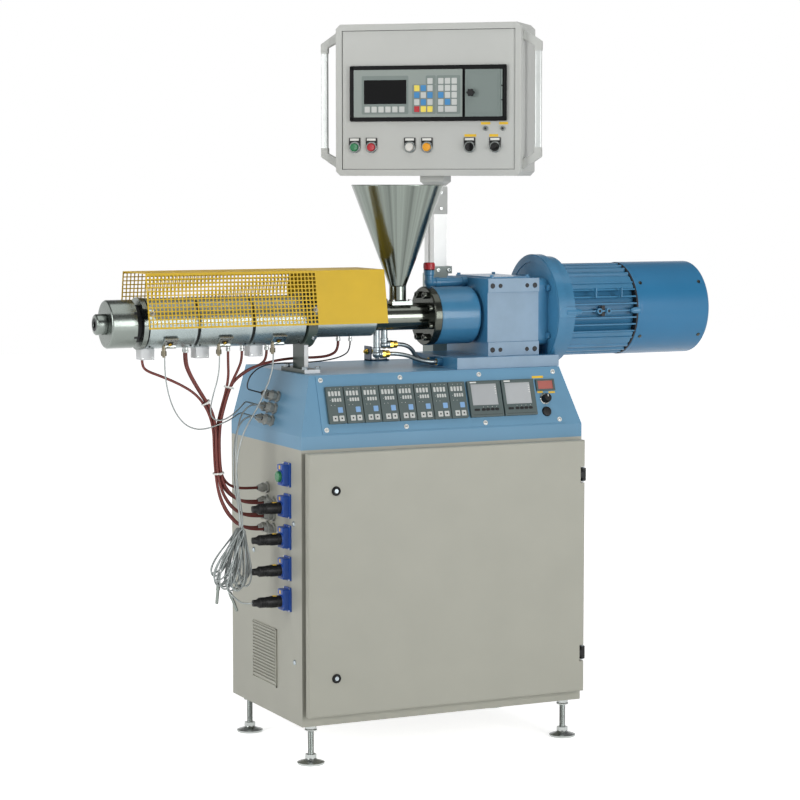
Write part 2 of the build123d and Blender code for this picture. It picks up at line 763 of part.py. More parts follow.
gear_body += block(inset(gear_x, gearbox_lid_inset), inset(gear_y, gearbox_lid_inset), lid_z)
adapter_face = Plane((gear_x[1], axis_y, motor_axis_z), x_dir=(0, 1, 0), z_dir=(1, 0, 0))
adapter_outline = adapter_face * RectangleRounded(adapter_size, adapter_size, adapter_round)
adapter = extrude(adapter_outline, amount=adapter_length)
nodes["gearbox"] = gear_body + adapter

# Oil filler: a pipe from the gearbox's end face, an elbow and a cap
filler = shaft(filler_x, gearbox_x, filler_pipe_radius, filler_y, filler_pipe_z)
filler += Pos(filler_x, filler_y, filler_pipe_z) * Sphere(1.15 * filler_pipe_radius)
filler += stand(filler_x, filler_y, filler_pipe_z, filler_top_z, filler_pipe_radius)
filler += stand(filler_x, filler_y, filler_top_z, filler_top_z + filler_cap_height, filler_cap_radius)
nodes["oil_filler"] = filler

# Motor: flange disc and bell, finned body and fan cover
disc = shaft(disc_x, disc_x + disc_length, disc_radius, z=motor_axis_z)
disc -= block((disc_x, motor_x), (0, 2 * axis_y), (cabinet_top, hood_top + disc_clearance))
nodes["motor_flange"] = disc + shaft(disc_x + disc_length, motor_x, bell_radius, z=motor_axis_z)
fins = []
for i in range(fin_rows):
    offset = (i - (fin_rows - 1) / 2) * fin_pitch
    fins.append(Pos(0, 0, offset) * Box(motor_length, 2 * motor_fin_radius, fin_thickness))
    fins.append(Pos(0, offset, 0) * Box(motor_length, fin_thickness, 2 * motor_fin_radius))
middle = Pos(motor_x + motor_length / 2, axis_y, motor_axis_z)
motor = shaft(motor_x, cover_x, motor_core_radius, z=motor_axis_z)
fin_tips = shaft(motor_x, cover_x, motor_fin_radius, z=motor_axis_z)
motor += [(middle * fin) & fin_tips for fin in fins]
shield_radius = cover_radius - cover_sheet - touch_gap
nodes["motor_body"] = motor + shaft(cover_x, cover_x + shield_length, shield_radius, z=motor_axis_z)
cover_end = cover_x + cover_length
cover = shaft(cover_x, cover_end, cover_radius, z=motor_axis_z)
cover = fillet(cover.edges().group_by(Axis.X)[-1], cover_round)
hollow = shaft(cover_x, cover_end - cover_sheet, cover_radius - cover_sheet, z=motor_axis_z)
hollow = fillet(hollow.edges().group_by(Axis.X)[-1], cover_round - cover_sheet)
nodes["fan_cover"] = cover - hollow

# Cooling water: two nipples under the feed section, their elbows and couplings, and the valve bracket
fittings = []
hose_starts = []
for i, x in enumerate(nipple_x):
    z = elbow_z + i * elbow_step
    pipe = stand(x, nipple_y, z, axis_z, nipple_radius) - shaft(feed_x, flange_x, feed_radius + touch_gap)
    turn = Pos(x, nipple_y, z) * Sphere(1.2 * nipple_radius)
    run = shaft(x, x + elbow_bend, nipple_radius, nipple_y, z)
    end_x = x + elbow_bend + coupling_length
    coupling = shaft(x + elbow_bend, end_x, coupling_radius, nipple_y, z)
    fittings.append(pipe + turn + run + coupling)
    hose_starts.append((end_x, nipple_y, z))
bracket_x = (water_block_x, water_block_x + water_block_width)
bracket_y = (water_block_y, water_block_y + water_block_foot)
bracket = block(bracket_x, bracket_y, (hood_top, hood_top + water_block_sheet))
upright_x = (water_block_x, water_block_x + water_block_sheet)
bracket += block(upright_x, bracket_y, (hood_top, hood_top + water_block_height))
valve_x = (water_block_x - coupling_length / 2, water_block_x + 1.4 * coupling_length)
bracket += shaft(*valve_x, nipple_radius, sum(bracket_y) / 2, hood_top + 0.62 * water_block_height)
fittings.append(bracket)
nodes["cooling_fittings"] = fittings

# Column: pedestal and collar, grooved post with a spigot, and the sleeve under the swivel
collar_low_z = collar_top_z - collar_thickness
pedestal = Pos(post_x, post_y, (hood_top + collar_low_z) / 2)
pedestal *= Box(pedestal_size_x, pedestal_size_y, collar_low_z - hood_top)
collar_middle = Pos(post_x + collar_offset_x, post_y, collar_top_z - collar_thickness / 2)
nodes["column_foot"] = pedestal + collar_middle * Box(collar_size_x, collar_size_y, collar_thickness)
column_top = sleeve_top_z
column = Pos(post_x, post_y, (collar_top_z + column_top) / 2)
column *= Box(column_width, column_depth, column_top - collar_top_z)
for side in (-1, 1):
    groove_x = post_x + side * column_width / 2
    groove_span = (groove_x - column_groove_depth, groove_x + column_groove_depth)
    groove_y = (post_y - column_groove / 2, post_y + column_groove / 2)
    column -= block(groove_span, groove_y, (collar_top_z, column_top))
spigot_radius = column_width / 3
spigot_top = sleeve_top_z + 0.6 * coupling_height
column += stand(post_x, post_y, column_top, spigot_top, spigot_radius)
sleeve_z = (sleeve_bottom_z, sleeve_top_z)
around_x = (post_x - column_width / 2 - sleeve_wall, post_x + column_width / 2 + sleeve_wall)
around_y = (post_y - column_depth / 2 - sleeve_wall, post_y + column_depth / 2 + sleeve_wall)
nodes["panel_column"] = column + block(around_x, around_y, sleeve_z)

# Swivel coupling, which turns with the panel
turn = radians(panel_turn)
across = (cos(turn), sin(turn), 0)
outward = (sin(turn), -cos(turn), 0)
seat = Plane((post_x, post_y, sleeve_top_z + turn_gap), x_dir=across, z_dir=(0, 0, 1))
coupling = extrude(seat * Rectangle(coupling_width, coupling_depth), amount=coupling_height - turn_gap)
coupling = chamfer(coupling.faces().sort_by(Axis.Z)[0].edges(), coupling_chamfer)
socket = stand(post_x, post_y, sleeve_top_z, spigot_top + turn_gap, spigot_radius + pin_gap)
nodes["panel_coupling"] = coupling - socket


# Panel housing: a chamfered box with a set-back front plate, button wells and rings
def panel_plane(forward):
    """The upright plane parallel to the panel's front, this far ahead of the swivel axis."""
    start = (post_x + forward * outward[0], post_y + forward * outward[1], panel_bottom)
    return Plane(start, x_dir=across, z_dir=outward)


half_panel = panel_width / 2
front_plane = panel_plane(panel_front)
outline = front_plane * Pos(0, panel_height / 2) * Rectangle(panel_width, panel_height)
outline = chamfer(outline.vertices(), panel_corner)
housing = extrude(outline, amount=-panel_depth, dir=outward)
face_plane = panel_plane(panel_front - panel_recess)
inner_u = inset((-half_panel, half_panel), panel_frame)
inner_v = inset((0, panel_height), panel_frame)
housing -= slab_on(face_plane, inner_u, inner_v, 2 * panel_recess)
well_depth = button_well + button_travel + turn_gap
for u in button_places.values():
    housing += disc_on(face_plane, u, button_row_z, button_bezel_radius, button_bezel_height)
    well_radius = button_cap_radius + turn_gap
    housing -= disc_on(face_plane, u, button_row_z, well_radius, well_depth + 20, -well_depth)
for u in selector_places.values():
    well = disc_on(face_plane, u, button_row_z, selector_grip / 2 + pin_gap, button_well + 1, -button_well)
    housing -= well
for u in socket_places:
    housing += disc_on(face_plane, u, socket_row_z, small_socket_radius, small_socket_height)
nodes["panel_housing"] = housing

# Grab handles: bars beside the housing whose ends lean in to its corners
handle_plane = panel_plane(panel_front - handle_setback)
reach_u = half_panel + handle_reach
bend = handle_bracket
handles = []
for side in (-1, 1):
    outer = [(half_panel, handle_margin), (reach_u, handle_margin + bend)]
    outer += [(reach_u, panel_height - handle_margin - bend), (half_panel, panel_height - handle_margin)]
    inner = [(half_panel, panel_height - handle_margin - handle_bar * 1.4)]
    inner += [(reach_u - handle_bar, panel_height - handle_margin - bend - handle_bar / 2)]
    inner += [(reach_u - handle_bar, handle_margin + bend + handle_bar / 2)]
    inner += [(half_panel, handle_margin + handle_bar * 1.4)]
    corners = [(side * u, v) for u, v in outer + inner]
    shape = handle_plane * make_face(Polyline(*corners, close=True))
    handles.append(extrude(shape, amount=-handle_bar_depth, dir=outward))
nodes["panel_handles"] = handles

# Operator unit: a frame with the keypad block, and a flap hinged at its right edge
flap_swing = 5.0
flap_lift = 3.0
unit_u = (unit_left, unit_right)
unit_v = (unit_bottom, unit_top)
flap_u = (flap_left, flap_right)
flap_v = (flap_bottom, flap_top)
unit = slab_on(face_plane, unit_u, unit_v, unit_depth)
bay_u = (flap_left - flap_swing, flap_right + 1.5 * flap_swing)
bay_v = inset(flap_v, -flap_swing)
unit -= slab_on(face_plane, bay_u, bay_v, 2 * unit_depth)
key_u = (unit_left + unit_frame, bay_u[0] - 2)
unit -= slab_on(face_plane, key_u, inset(unit_v, unit_frame), unit_depth, unit_depth - 2)
hinge_lift = flap_lift + flap_thickness / 2
hinge_front = panel_plane(panel_front - panel_recess + hinge_lift)
hinge_line = hinge_front.origin + hinge_front.x_dir * flap_right
pin_reach = 3 * flap_thickness
for low, high in ((bay_v[0] - 1, flap_v[0] + pin_reach), (flap_v[1] - pin_reach, bay_v[1] + 1)):
    unit += stand(hinge_line.X, hinge_line.Y, panel_bottom + low, panel_bottom + high, flap_pin_radius)
nodes["operator_unit"] = unit
flap = slab_on(face_plane, flap_u, flap_v, flap_thickness, flap_lift)
flap_z = (panel_bottom + flap_v[0], panel_bottom + flap_v[1])
flap += stand(hinge_line.X, hinge_line.Y, flap_z[0], flap_z[1], flap_thickness * 0.75)
flap -= stand(hinge_line.X, hinge_line.Y, flap_z[0], flap_z[1], flap_pin_radius + pin_gap)
flap_face = flap_lift + flap_thickness
flap += disc_on(face_plane, flap_knob_u, flap_knob_z, flap_knob_radius, flap_knob_height, flap_face)
nodes["panel_flap"] = flap

# Push buttons and selector switches below the operator unit
for colour, u in button_places.items():
    length = button_well + button_bezel_height + button_cap_height
    cap = disc_on(face_plane, u, button_row_z, button_cap_radius, length, -button_well)
    nodes["push_button_" + colour] = cap
for name, u in selector_places.items():
    selector = disc_on(face_plane, u, button_row_z, button_bezel_radius, button_bezel_height, touch_gap)
    stem_length = button_well - turn_gap + touch_gap
    selector += disc_on(face_plane, u, button_row_z, selector_grip / 2, stem_length, touch_gap - stem_length)
    dial = Plane(face_plane.location * Pos(u, button_row_z) * Rot(0, 0, selector_turns[name]))
    grip_u = (-selector_grip / 2, selector_grip / 2)
    grip_v = (-button_cap_radius, button_cap_radius)
    selector += slab_on(dial, grip_u, grip_v, selector_height, button_bezel_height)
    nodes["selector_" + name] = selector


# Cables: tubes along straight runs joined by arcs as large as the runs allow
def cable(name, points, diameter):
    places = [Vector(point) for point in points]
    radii = []
    for before, here, after in zip(places, places[1:], places[2:]):
        shorter = min((here - before).length, (after - here).length)
        half_turn = radians((here - before).get_angle(after - here)) / 2
        radii.append(0.45 * shorter / tan(half_turn))
    path = FilletPolyline(*places, radius=radii)
    tube = sweep(Plane(path @ 0, z_dir=path % 0) * Circle(diameter / 2), path)
    share = tube.volume / (path.length * Circle(diameter / 2).area)
    print(f"{name}: length {path.length:.0f}, least radius {min(radii):.0f}, volume share {share:.4f}")
    return tube


gland_tip = -gland_length
port_tip = base_left_x - hose_port_height
heater_routes = {
    "heater cable 1": [
        (-346, 197, 1030), (-346, 197, 1010), (-332, 196.5, 997), (-303, 195, 986), (-256, 191, 966),
        (-213, 188, 941), (-187, 186, 912), (-170, 185, 878), (-161.5, 185, 841), (-160.6, 185, 801),
        (-159, 185, 757), (-155, 183.5, 710), (-142, 181, 660), (-113, 179, 613), (-72, 178, 584),
        (gland_tip, 178, 584),
    ],
    "heater cable 2": [
        (-236, 178.4, 1042), (-236, 178.4, 1016), (-225, 178.4, 988), (-209, 178.4, 960), (-190, 178.4, 930),
        (-171, 178.4, 901), (-160, 178.4, 868), (-157, 178.4, 832), (-156.8, 178.4, 794),
        (-155.2, 178.4, 754), (-150, 178.3, 712), (-136, 178.2, 674), (-108, 178.1, 638), (-71, 178, 618),
        (gland_tip, 178, 618),
    ],
    "heater cable 3": [
        (-236, 191.6, 1042), (-236, 191.6, 1016), (-225, 191.6, 988), (-209, 191.6, 960), (-190, 191.6, 930),
        (-171, 191.6, 901), (-160, 191.6, 868), (-157, 191.6, 832), (-156.8, 191.6, 794),
        (-155.4, 191.6, 752), (-151, 193, 706), (-139, 199, 662), (-115, 209, 621), (-74, 219, 584),
        (gland_tip, 219, 584),
    ],
    "heater cable 4": [
        (-121, 185, 1042), (-121, 185, 1014), (-120, 185, 976), (-128, 185, 938), (-140, 185, 900),
        (-149.5, 185, 864), (-153, 185, 828), (-153.2, 185, 790), (-151.8, 185, 752), (-146, 188, 712),
        (-132, 195, 674), (-107, 206, 641), (-71, 219, 618), (gland_tip, 219, 618),
    ],
    "heater cable 5": [
        (-86, 178.4, 1042), (-86, 178.4, 1020), (-97, 178.4, 994), (-112, 178.4, 967), (-124.2, 178.4, 938),
        (-136.2, 178.4, 900), (-145.7, 178.4, 864), (-149.2, 178.4, 828), (-149.4, 178.4, 790),
        (-148, 178.4, 754), (-143, 178.2, 720), (-128, 178.2, 690), (-104, 178.1, 667), (-70, 178, 652),
        (gland_tip, 178, 652),
    ],
    "heater cable 6": [
        (-16, 185, 1042), (-16, 185, 1020), (-34, 185, 1004), (-62, 185, 996), (-89, 185, 981),
        (-110, 185, 960), (-120.5, 185, 937), (-132.4, 185, 900), (-141.9, 185, 864), (-145.4, 185, 828),
        (-145.6, 185, 790), (-144, 185, 754), (-138, 189, 724), (-118, 199, 701), (-90, 211, 690),
        (-61, 219, 686), (gland_tip, 219, 686),
    ],
    "heater cable 7": [
        (190, 200, 1058.5), (190, 200, 1034), (168, 206, 1020), (136, 216, 1016), (97, 226, 1016),
        (54, 228, 1014), (10, 219, 1009), (-34, 207, 1001), (-71, 197, 986), (-99, 192.4, 968),
        (-117, 191.6, 946), (-125.5, 191.6, 922), (-136.2, 191.6, 896), (-145.7, 191.6, 862),
        (-149.2, 191.6, 826), (-149.4, 191.6, 788), (-148, 191.6, 752), (-142, 195, 718), (-126, 203, 688),
        (-100, 213, 666), (-67, 219, 652), (gland_tip, 219, 652),
    ],
}
sensor_routes = {
    "sensor lead 1": [
        (-307.5, 139, 1034.4), (-307.5, 139, 1004), (-302.5, 141, 966), (-292, 144, 926), (-274, 149, 890),
        (-248, 155, 862), (-216, 161, 849), (-186, 165, 850), (-160, 167.5, 857), (-136, 168.5, 864),
        (-112, 178, 873), (-90, 198, 880), (-70, 222, 881), mouths[5][1], mouths[5][0],
    ],
    "sensor lead 2": [
        (-162, 139, 1034.4), (-162, 139, 1006), (-167.5, 141, 972), (-177, 145, 938), (-183, 150, 906),
        (-179, 156, 882), (-165, 160, 870), (-144, 161, 870), (-122, 166, 879), (-99, 178, 891),
        (-78, 198, 902), (-60, 222, 909), mouths[4][1], mouths[4][0],
    ],
    "sensor lead 3": [
        (-16.5, 139, 1034.4), (-16.5, 139, 1007), (-26, 139, 972), (-41, 139, 938), (-58, 139, 904),
        (-79, 139, 872), (-99, 138.5, 838), (-112, 138, 798), (-119, 137, 756), (-120, 136.5, 714),
        (-116, 137, 674), (-110, 138, 634), (-110, 138, 606),
    ],
    "sensor lead 3 tail": [
        (-150, 125, 447), (-150, 112, 447), (-147, 101, 437), (-136, 91, 421), (-122, 86, 411.8),
        (plug_tip_x, 86, 411.8),
    ],
    "sensor lead 4": [
        mouths[2][0], mouths[2][1], (-76, 197, 867), (-95, 190, 843), (-106, 182, 808), (-112, 174, 768),
        (-115, 166, 726), (-114, 160, 688), (-109, 155, 658), (-106, 152, 632), (-106, 152, 606),
    ],
    "sensor lead 5": [
        mouths[1][0], mouths[1][1], (-68, 196, 896), (-88, 188, 872), (-100, 178, 838), (-107, 169, 798),
        (-110, 161, 756), (-111, 153, 714), (-107, 146, 668), (-102, 143, 632), (-102, 143, 606),
    ],
    "jacket lead": [
        (215, 180, 1058.5), (215, 180, 1034), (196, 190, 1018), (164, 205, 1009), (127, 222, 1004),
        (86, 236, 1002), (44, 240, 1003), (4, 230, 1001), (-28, 216, 993), (-53, 206, 976), (-62, 204, 955),
        (-54, 222, 940), mouths[3][1], mouths[3][0],
    ],
}
hose_routes = {
    "water hose 1": [
        hose_starts[0], (366, 180, elbow_z), (412, hose_ends_y[0], hose_port_z),
        (port_tip, hose_ends_y[0], hose_port_z),
    ],
    "water hose 2": [
        hose_starts[1], (385, 180, elbow_z + elbow_step), (417, hose_ends_y[1], hose_port_z),
        (port_tip, hose_ends_y[1], hose_port_z),
    ],
}
for node, routes, diameter in (
    ("heater_cables", heater_routes, heater_cable),
    ("sensor_leads", sensor_routes, sensor_lead),
    ("cooling_hoses", hose_routes, hose_diameter),
):
    nodes[node] = [cable(name, points, diameter) for name, points in routes.items()]
    cords.append(node)

# The hank of spare sensor lead, hung by its neck, and the two probes below it
hank_plane = Plane(hank_centre, x_dir=(1, 0, 0), z_dir=(0, -1, 0))
hank = extrude(hank_plane * Ellipse(hank_width / 2, hank_height / 2), amount=hank_thickness / 2, both=True)
hank = fillet(hank.edges().filter_by(GeomType.ELLIPSE), hank_round)
neck_place = Pos(-106, 146, 606 - hank_neck_height)
hank += neck_place * Box(hank_neck_width, 1.2 * hank_neck_width, 2 * hank_neck_height)
nodes["lead_hank"] = hank
probe_planes = (
    Plane((-166, hank_centre[1], 460), z_dir=(-0.1, 0, -1)),
    Plane((-136, hank_centre[1], 434), z_dir=(0.4, 0, -1)),
)
nodes["sensor_probes"] = [disc_on(plane, 0, 0, probe_radius, probe_length) - hank for plane in probe_planes]
cords += ["lead_hank", "sensor_probes"]


def all_solids(made):
    pieces = made if isinstance(made, list) else [made]
    return [solid for piece in pieces for solid in piece.solids()]


# The origin is on the floor, under the middle of the machine's box without its cables
body = Compound([solid for name, made in nodes.items() if name not in cords for solid in all_solids(made)])
box = body.bounding_box()
origin_shift = Vector(-box.center().X, -box.center().Y, -box.min.Z)
print(f"origin shift {origin_shift.X:.3f} {origin_shift.Y:.3f} {origin_shift.Z:.3f}")

os.makedirs("parts", exist_ok=True)
for name, made in nodes.items():
    placed = [Pos(*origin_shift) * solid for solid in all_solids(made)]
    export_step(placed[0] if len(placed) == 1 else Compound(placed), f"parts/{name}.step")
print(f"{len(nodes)} nodes")
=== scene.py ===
from math import cos, pi, radians, sin, sqrt

import bmesh
import bpy
from mathutils import Matrix, Vector


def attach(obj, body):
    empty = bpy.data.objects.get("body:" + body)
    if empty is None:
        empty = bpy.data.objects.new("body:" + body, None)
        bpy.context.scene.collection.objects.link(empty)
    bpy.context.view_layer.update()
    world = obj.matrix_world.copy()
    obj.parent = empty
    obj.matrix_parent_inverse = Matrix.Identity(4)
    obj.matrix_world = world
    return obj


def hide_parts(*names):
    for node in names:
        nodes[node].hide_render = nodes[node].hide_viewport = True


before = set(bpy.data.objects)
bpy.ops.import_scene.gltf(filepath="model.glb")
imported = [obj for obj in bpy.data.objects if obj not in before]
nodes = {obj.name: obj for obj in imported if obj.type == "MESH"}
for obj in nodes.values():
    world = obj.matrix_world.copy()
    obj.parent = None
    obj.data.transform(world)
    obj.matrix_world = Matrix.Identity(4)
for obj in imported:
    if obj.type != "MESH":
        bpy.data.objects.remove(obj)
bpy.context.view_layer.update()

scene = bpy.context.scene

# Shapes are drawn in millimetres from the cabinet's front left corner on the floor, then moved to the
# model's origin
originShift = Vector((-377.5, -315.531, 0.0))
toModel = Matrix.Scale(0.001, 4) @ Matrix.Translation(originShift)


def metres(x, y, z):
    return (Vector((x, y, z)) + originShift) / 1000


# Seats: a place with its own right (x), up (y) and outward (z)
def seatAt(place, right, outward):
    z = Vector(outward).normalized()
    x = Vector(right)
    x = (x - x.dot(z) * z).normalized()
    matrix = Matrix((x, z.cross(x), z)).transposed().to_4x4()
    matrix.translation = Vector(place)
    return matrix


def frontSeat(x, y, z):
    return seatAt((x, y, z), (1, 0, 0), (0, -1, 0))


def topSeat(x, y, z):
    return seatAt((x, y, z), (1, 0, 0), (0, 0, 1))


def rightSeat(x, y, z):
    return seatAt((x, y, z), (0, 1, 0), (1, 0, 0))


def shifted(seat, x=0.0, y=0.0, z=0.0, turn=0.0):
    return seat @ Matrix.Translation((x, y, z)) @ Matrix.Rotation(radians(turn), 4, "Z")


panelTurn = radians(-41.2)
panelRight = (cos(panelTurn), sin(panelTurn), 0)
panelOut = (sin(panelTurn), -cos(panelTurn), 0)
swivel = Vector((588.0, 437.0, 1483.0))
panelFace = seatAt(swivel + 82 * Vector(panelOut), panelRight, panelOut)
hood = {"edge": 835.5, "rise": 148.5, "frontRun": 47.5, "sideRun": 42.0, "plate": 2.0}
slopeFace = seatAt((0, 0, hood["edge"]), (1, 0, 0), (0, -hood["rise"], hood["frontRun"]))
slopePlate = shifted(slopeFace, z=hood["plate"])
leftWall = seatAt((0, 0, 0), (0, -1, 0), (-1, 0, 0))
axisY, axisZ, motorZ = 180.0, 1118.0, 1126.0
alongScrew = rightSeat(0, axisY, axisZ)  # z runs along the screw towards the motor
alongMotor = rightSeat(0, axisY, motorZ)
hopperAxis = (351.0, axisY)

# The hood's sensor glands, in two columns on its left slope
hoodGland = {"columns": (202.0, 245.0), "rows": 3, "top": 919.0, "pitch": 30.5, "nose": 30.0,
    "straight": 28.0}


def hoodGlandSeat(column, row):
    z = hoodGland["top"] - hoodGland["pitch"] * row
    x = (z - hood["edge"]) * hood["sideRun"] / hood["rise"]
    return seatAt((x, hoodGland["columns"][column], z), (0, -1, 0), (-hood["rise"], 0, hood["sideRun"]))


# A seat on a round wall about a line along x, at so many degrees from the rear
def roundSeat(x, centreZ, radius, turn):
    out = (0, cos(radians(turn)), sin(radians(turn)))
    return seatAt(Vector((x, axisY, centreZ)) + radius * Vector(out), (1, 0, 0), out)


print("stage 1: materials")


def linear(code):
    shares = [int(code[i:i + 2], 16) / 255 for i in (1, 3, 5)]
    return [s / 12.92 if s <= 0.04045 else ((s + 0.055) / 1.055) ** 2.4 for s in shares] + [1.0]


# Adds one node: settings go on its properties, values on its sockets, links come from other nodes' sockets
def addNode(tree, kind, settings=None, values=None, links=None):
    node = tree.nodes.new(kind)
    for key, value in (settings or {}).items():
        setattr(node, key, value)
    for key, value in (values or {}).items():
        node.inputs[key].default_value = value
    for key, socket in (links or {}).items():
        tree.links.new(socket, node.inputs[key])
    return node


def newMaterial(name):
    material = bpy.data.materials.new(name)
    material.use_nodes = True
    tree = material.node_tree
    shader = tree.nodes["Principled BSDF"]
    return material, tree, shader


# The finish of one material: a base colour that drifts a little, a roughness that drifts, and a fine relief
def makeFinish(name, code, roughness, metallic=0.0, grainMm=1.2, relief=0.0, drift=0.06, driftMm=120.0,
        stretch=(1, 1, 1), coat=0.0, ior=1.5, roundAxis=None):
    material, tree, shader = newMaterial(name)
    shader.inputs["Metallic"].default_value = metallic
    shader.inputs["Coat Weight"].default_value = coat
    shader.inputs["Coat Roughness"].default_value = 0.12
    if metallic < 0.5:
        shader.inputs["IOR"].default_value = ior
    place = addNode(tree, "ShaderNodeTexCoord").outputs["Object"]
    turned = addNode(tree, "ShaderNodeMapping", values={"Scale": stretch},
        links={"Vector": place}).outputs["Vector"]
    if roundAxis:  # painted reflection: light and dark streaks that run down a cone, which depend only on the angle round its axis
        centred = addNode(tree, "ShaderNodeMapping", values={"Location": -metres(*roundAxis)},
            links={"Vector": place})
        angle = addNode(tree, "ShaderNodeTexGradient", {"gradient_type": "RADIAL"},
            links={"Vector": centred.outputs["Vector"]})
        cloud = addNode(tree, "ShaderNodeTexNoise", {"noise_dimensions": "1D"},
            {"Scale": 24.0, "Detail": 4.0}, {"W": angle.outputs["Fac"]})
    else:
        cloud = addNode(tree, "ShaderNodeTexNoise", values={"Scale": 1000 / driftMm, "Detail": 3.0},
            links={"Vector": place})
    base = linear(code)
    low = [c * (1 - drift) for c in base[:3]] + [1.0]
    high = [min(1.0, c * (1 + drift)) for c in base[:3]] + [1.0]
    tint = addNode(tree, "ShaderNodeValToRGB", links={"Fac": cloud.outputs["Fac"]})
    tint.color_ramp.elements[0].color = low
    tint.color_ramp.elements[0].position = 0.3
    tint.color_ramp.elements[1].color = high
    tint.color_ramp.elements[1].position = 0.7
    grain = addNode(tree, "ShaderNodeTexNoise", values={"Scale": 1000 / grainMm, "Detail": 2.0},
        links={"Vector": turned})
    tree.links.new(tint.outputs["Color"], shader.inputs["Base Color"])
    sheen = addNode(tree, "ShaderNodeMapRange", values={"From Min": 0.3, "From Max": 0.7,
        "To Min": max(0.02, roughness - 0.07), "To Max": min(1.0, roughness + 0.07)},
        links={"Value": grain.outputs["Fac"]})
    tree.links.new(sheen.outputs["Result"], shader.inputs["Roughness"])
    if relief:
        bump = addNode(tree, "ShaderNodeBump", values={"Strength": relief, "Distance": 0.0004},
            links={"Height": grain.outputs["Fac"]})
        tree.links.new(bump.outputs["Normal"], shader.inputs["Normal"])
    return material


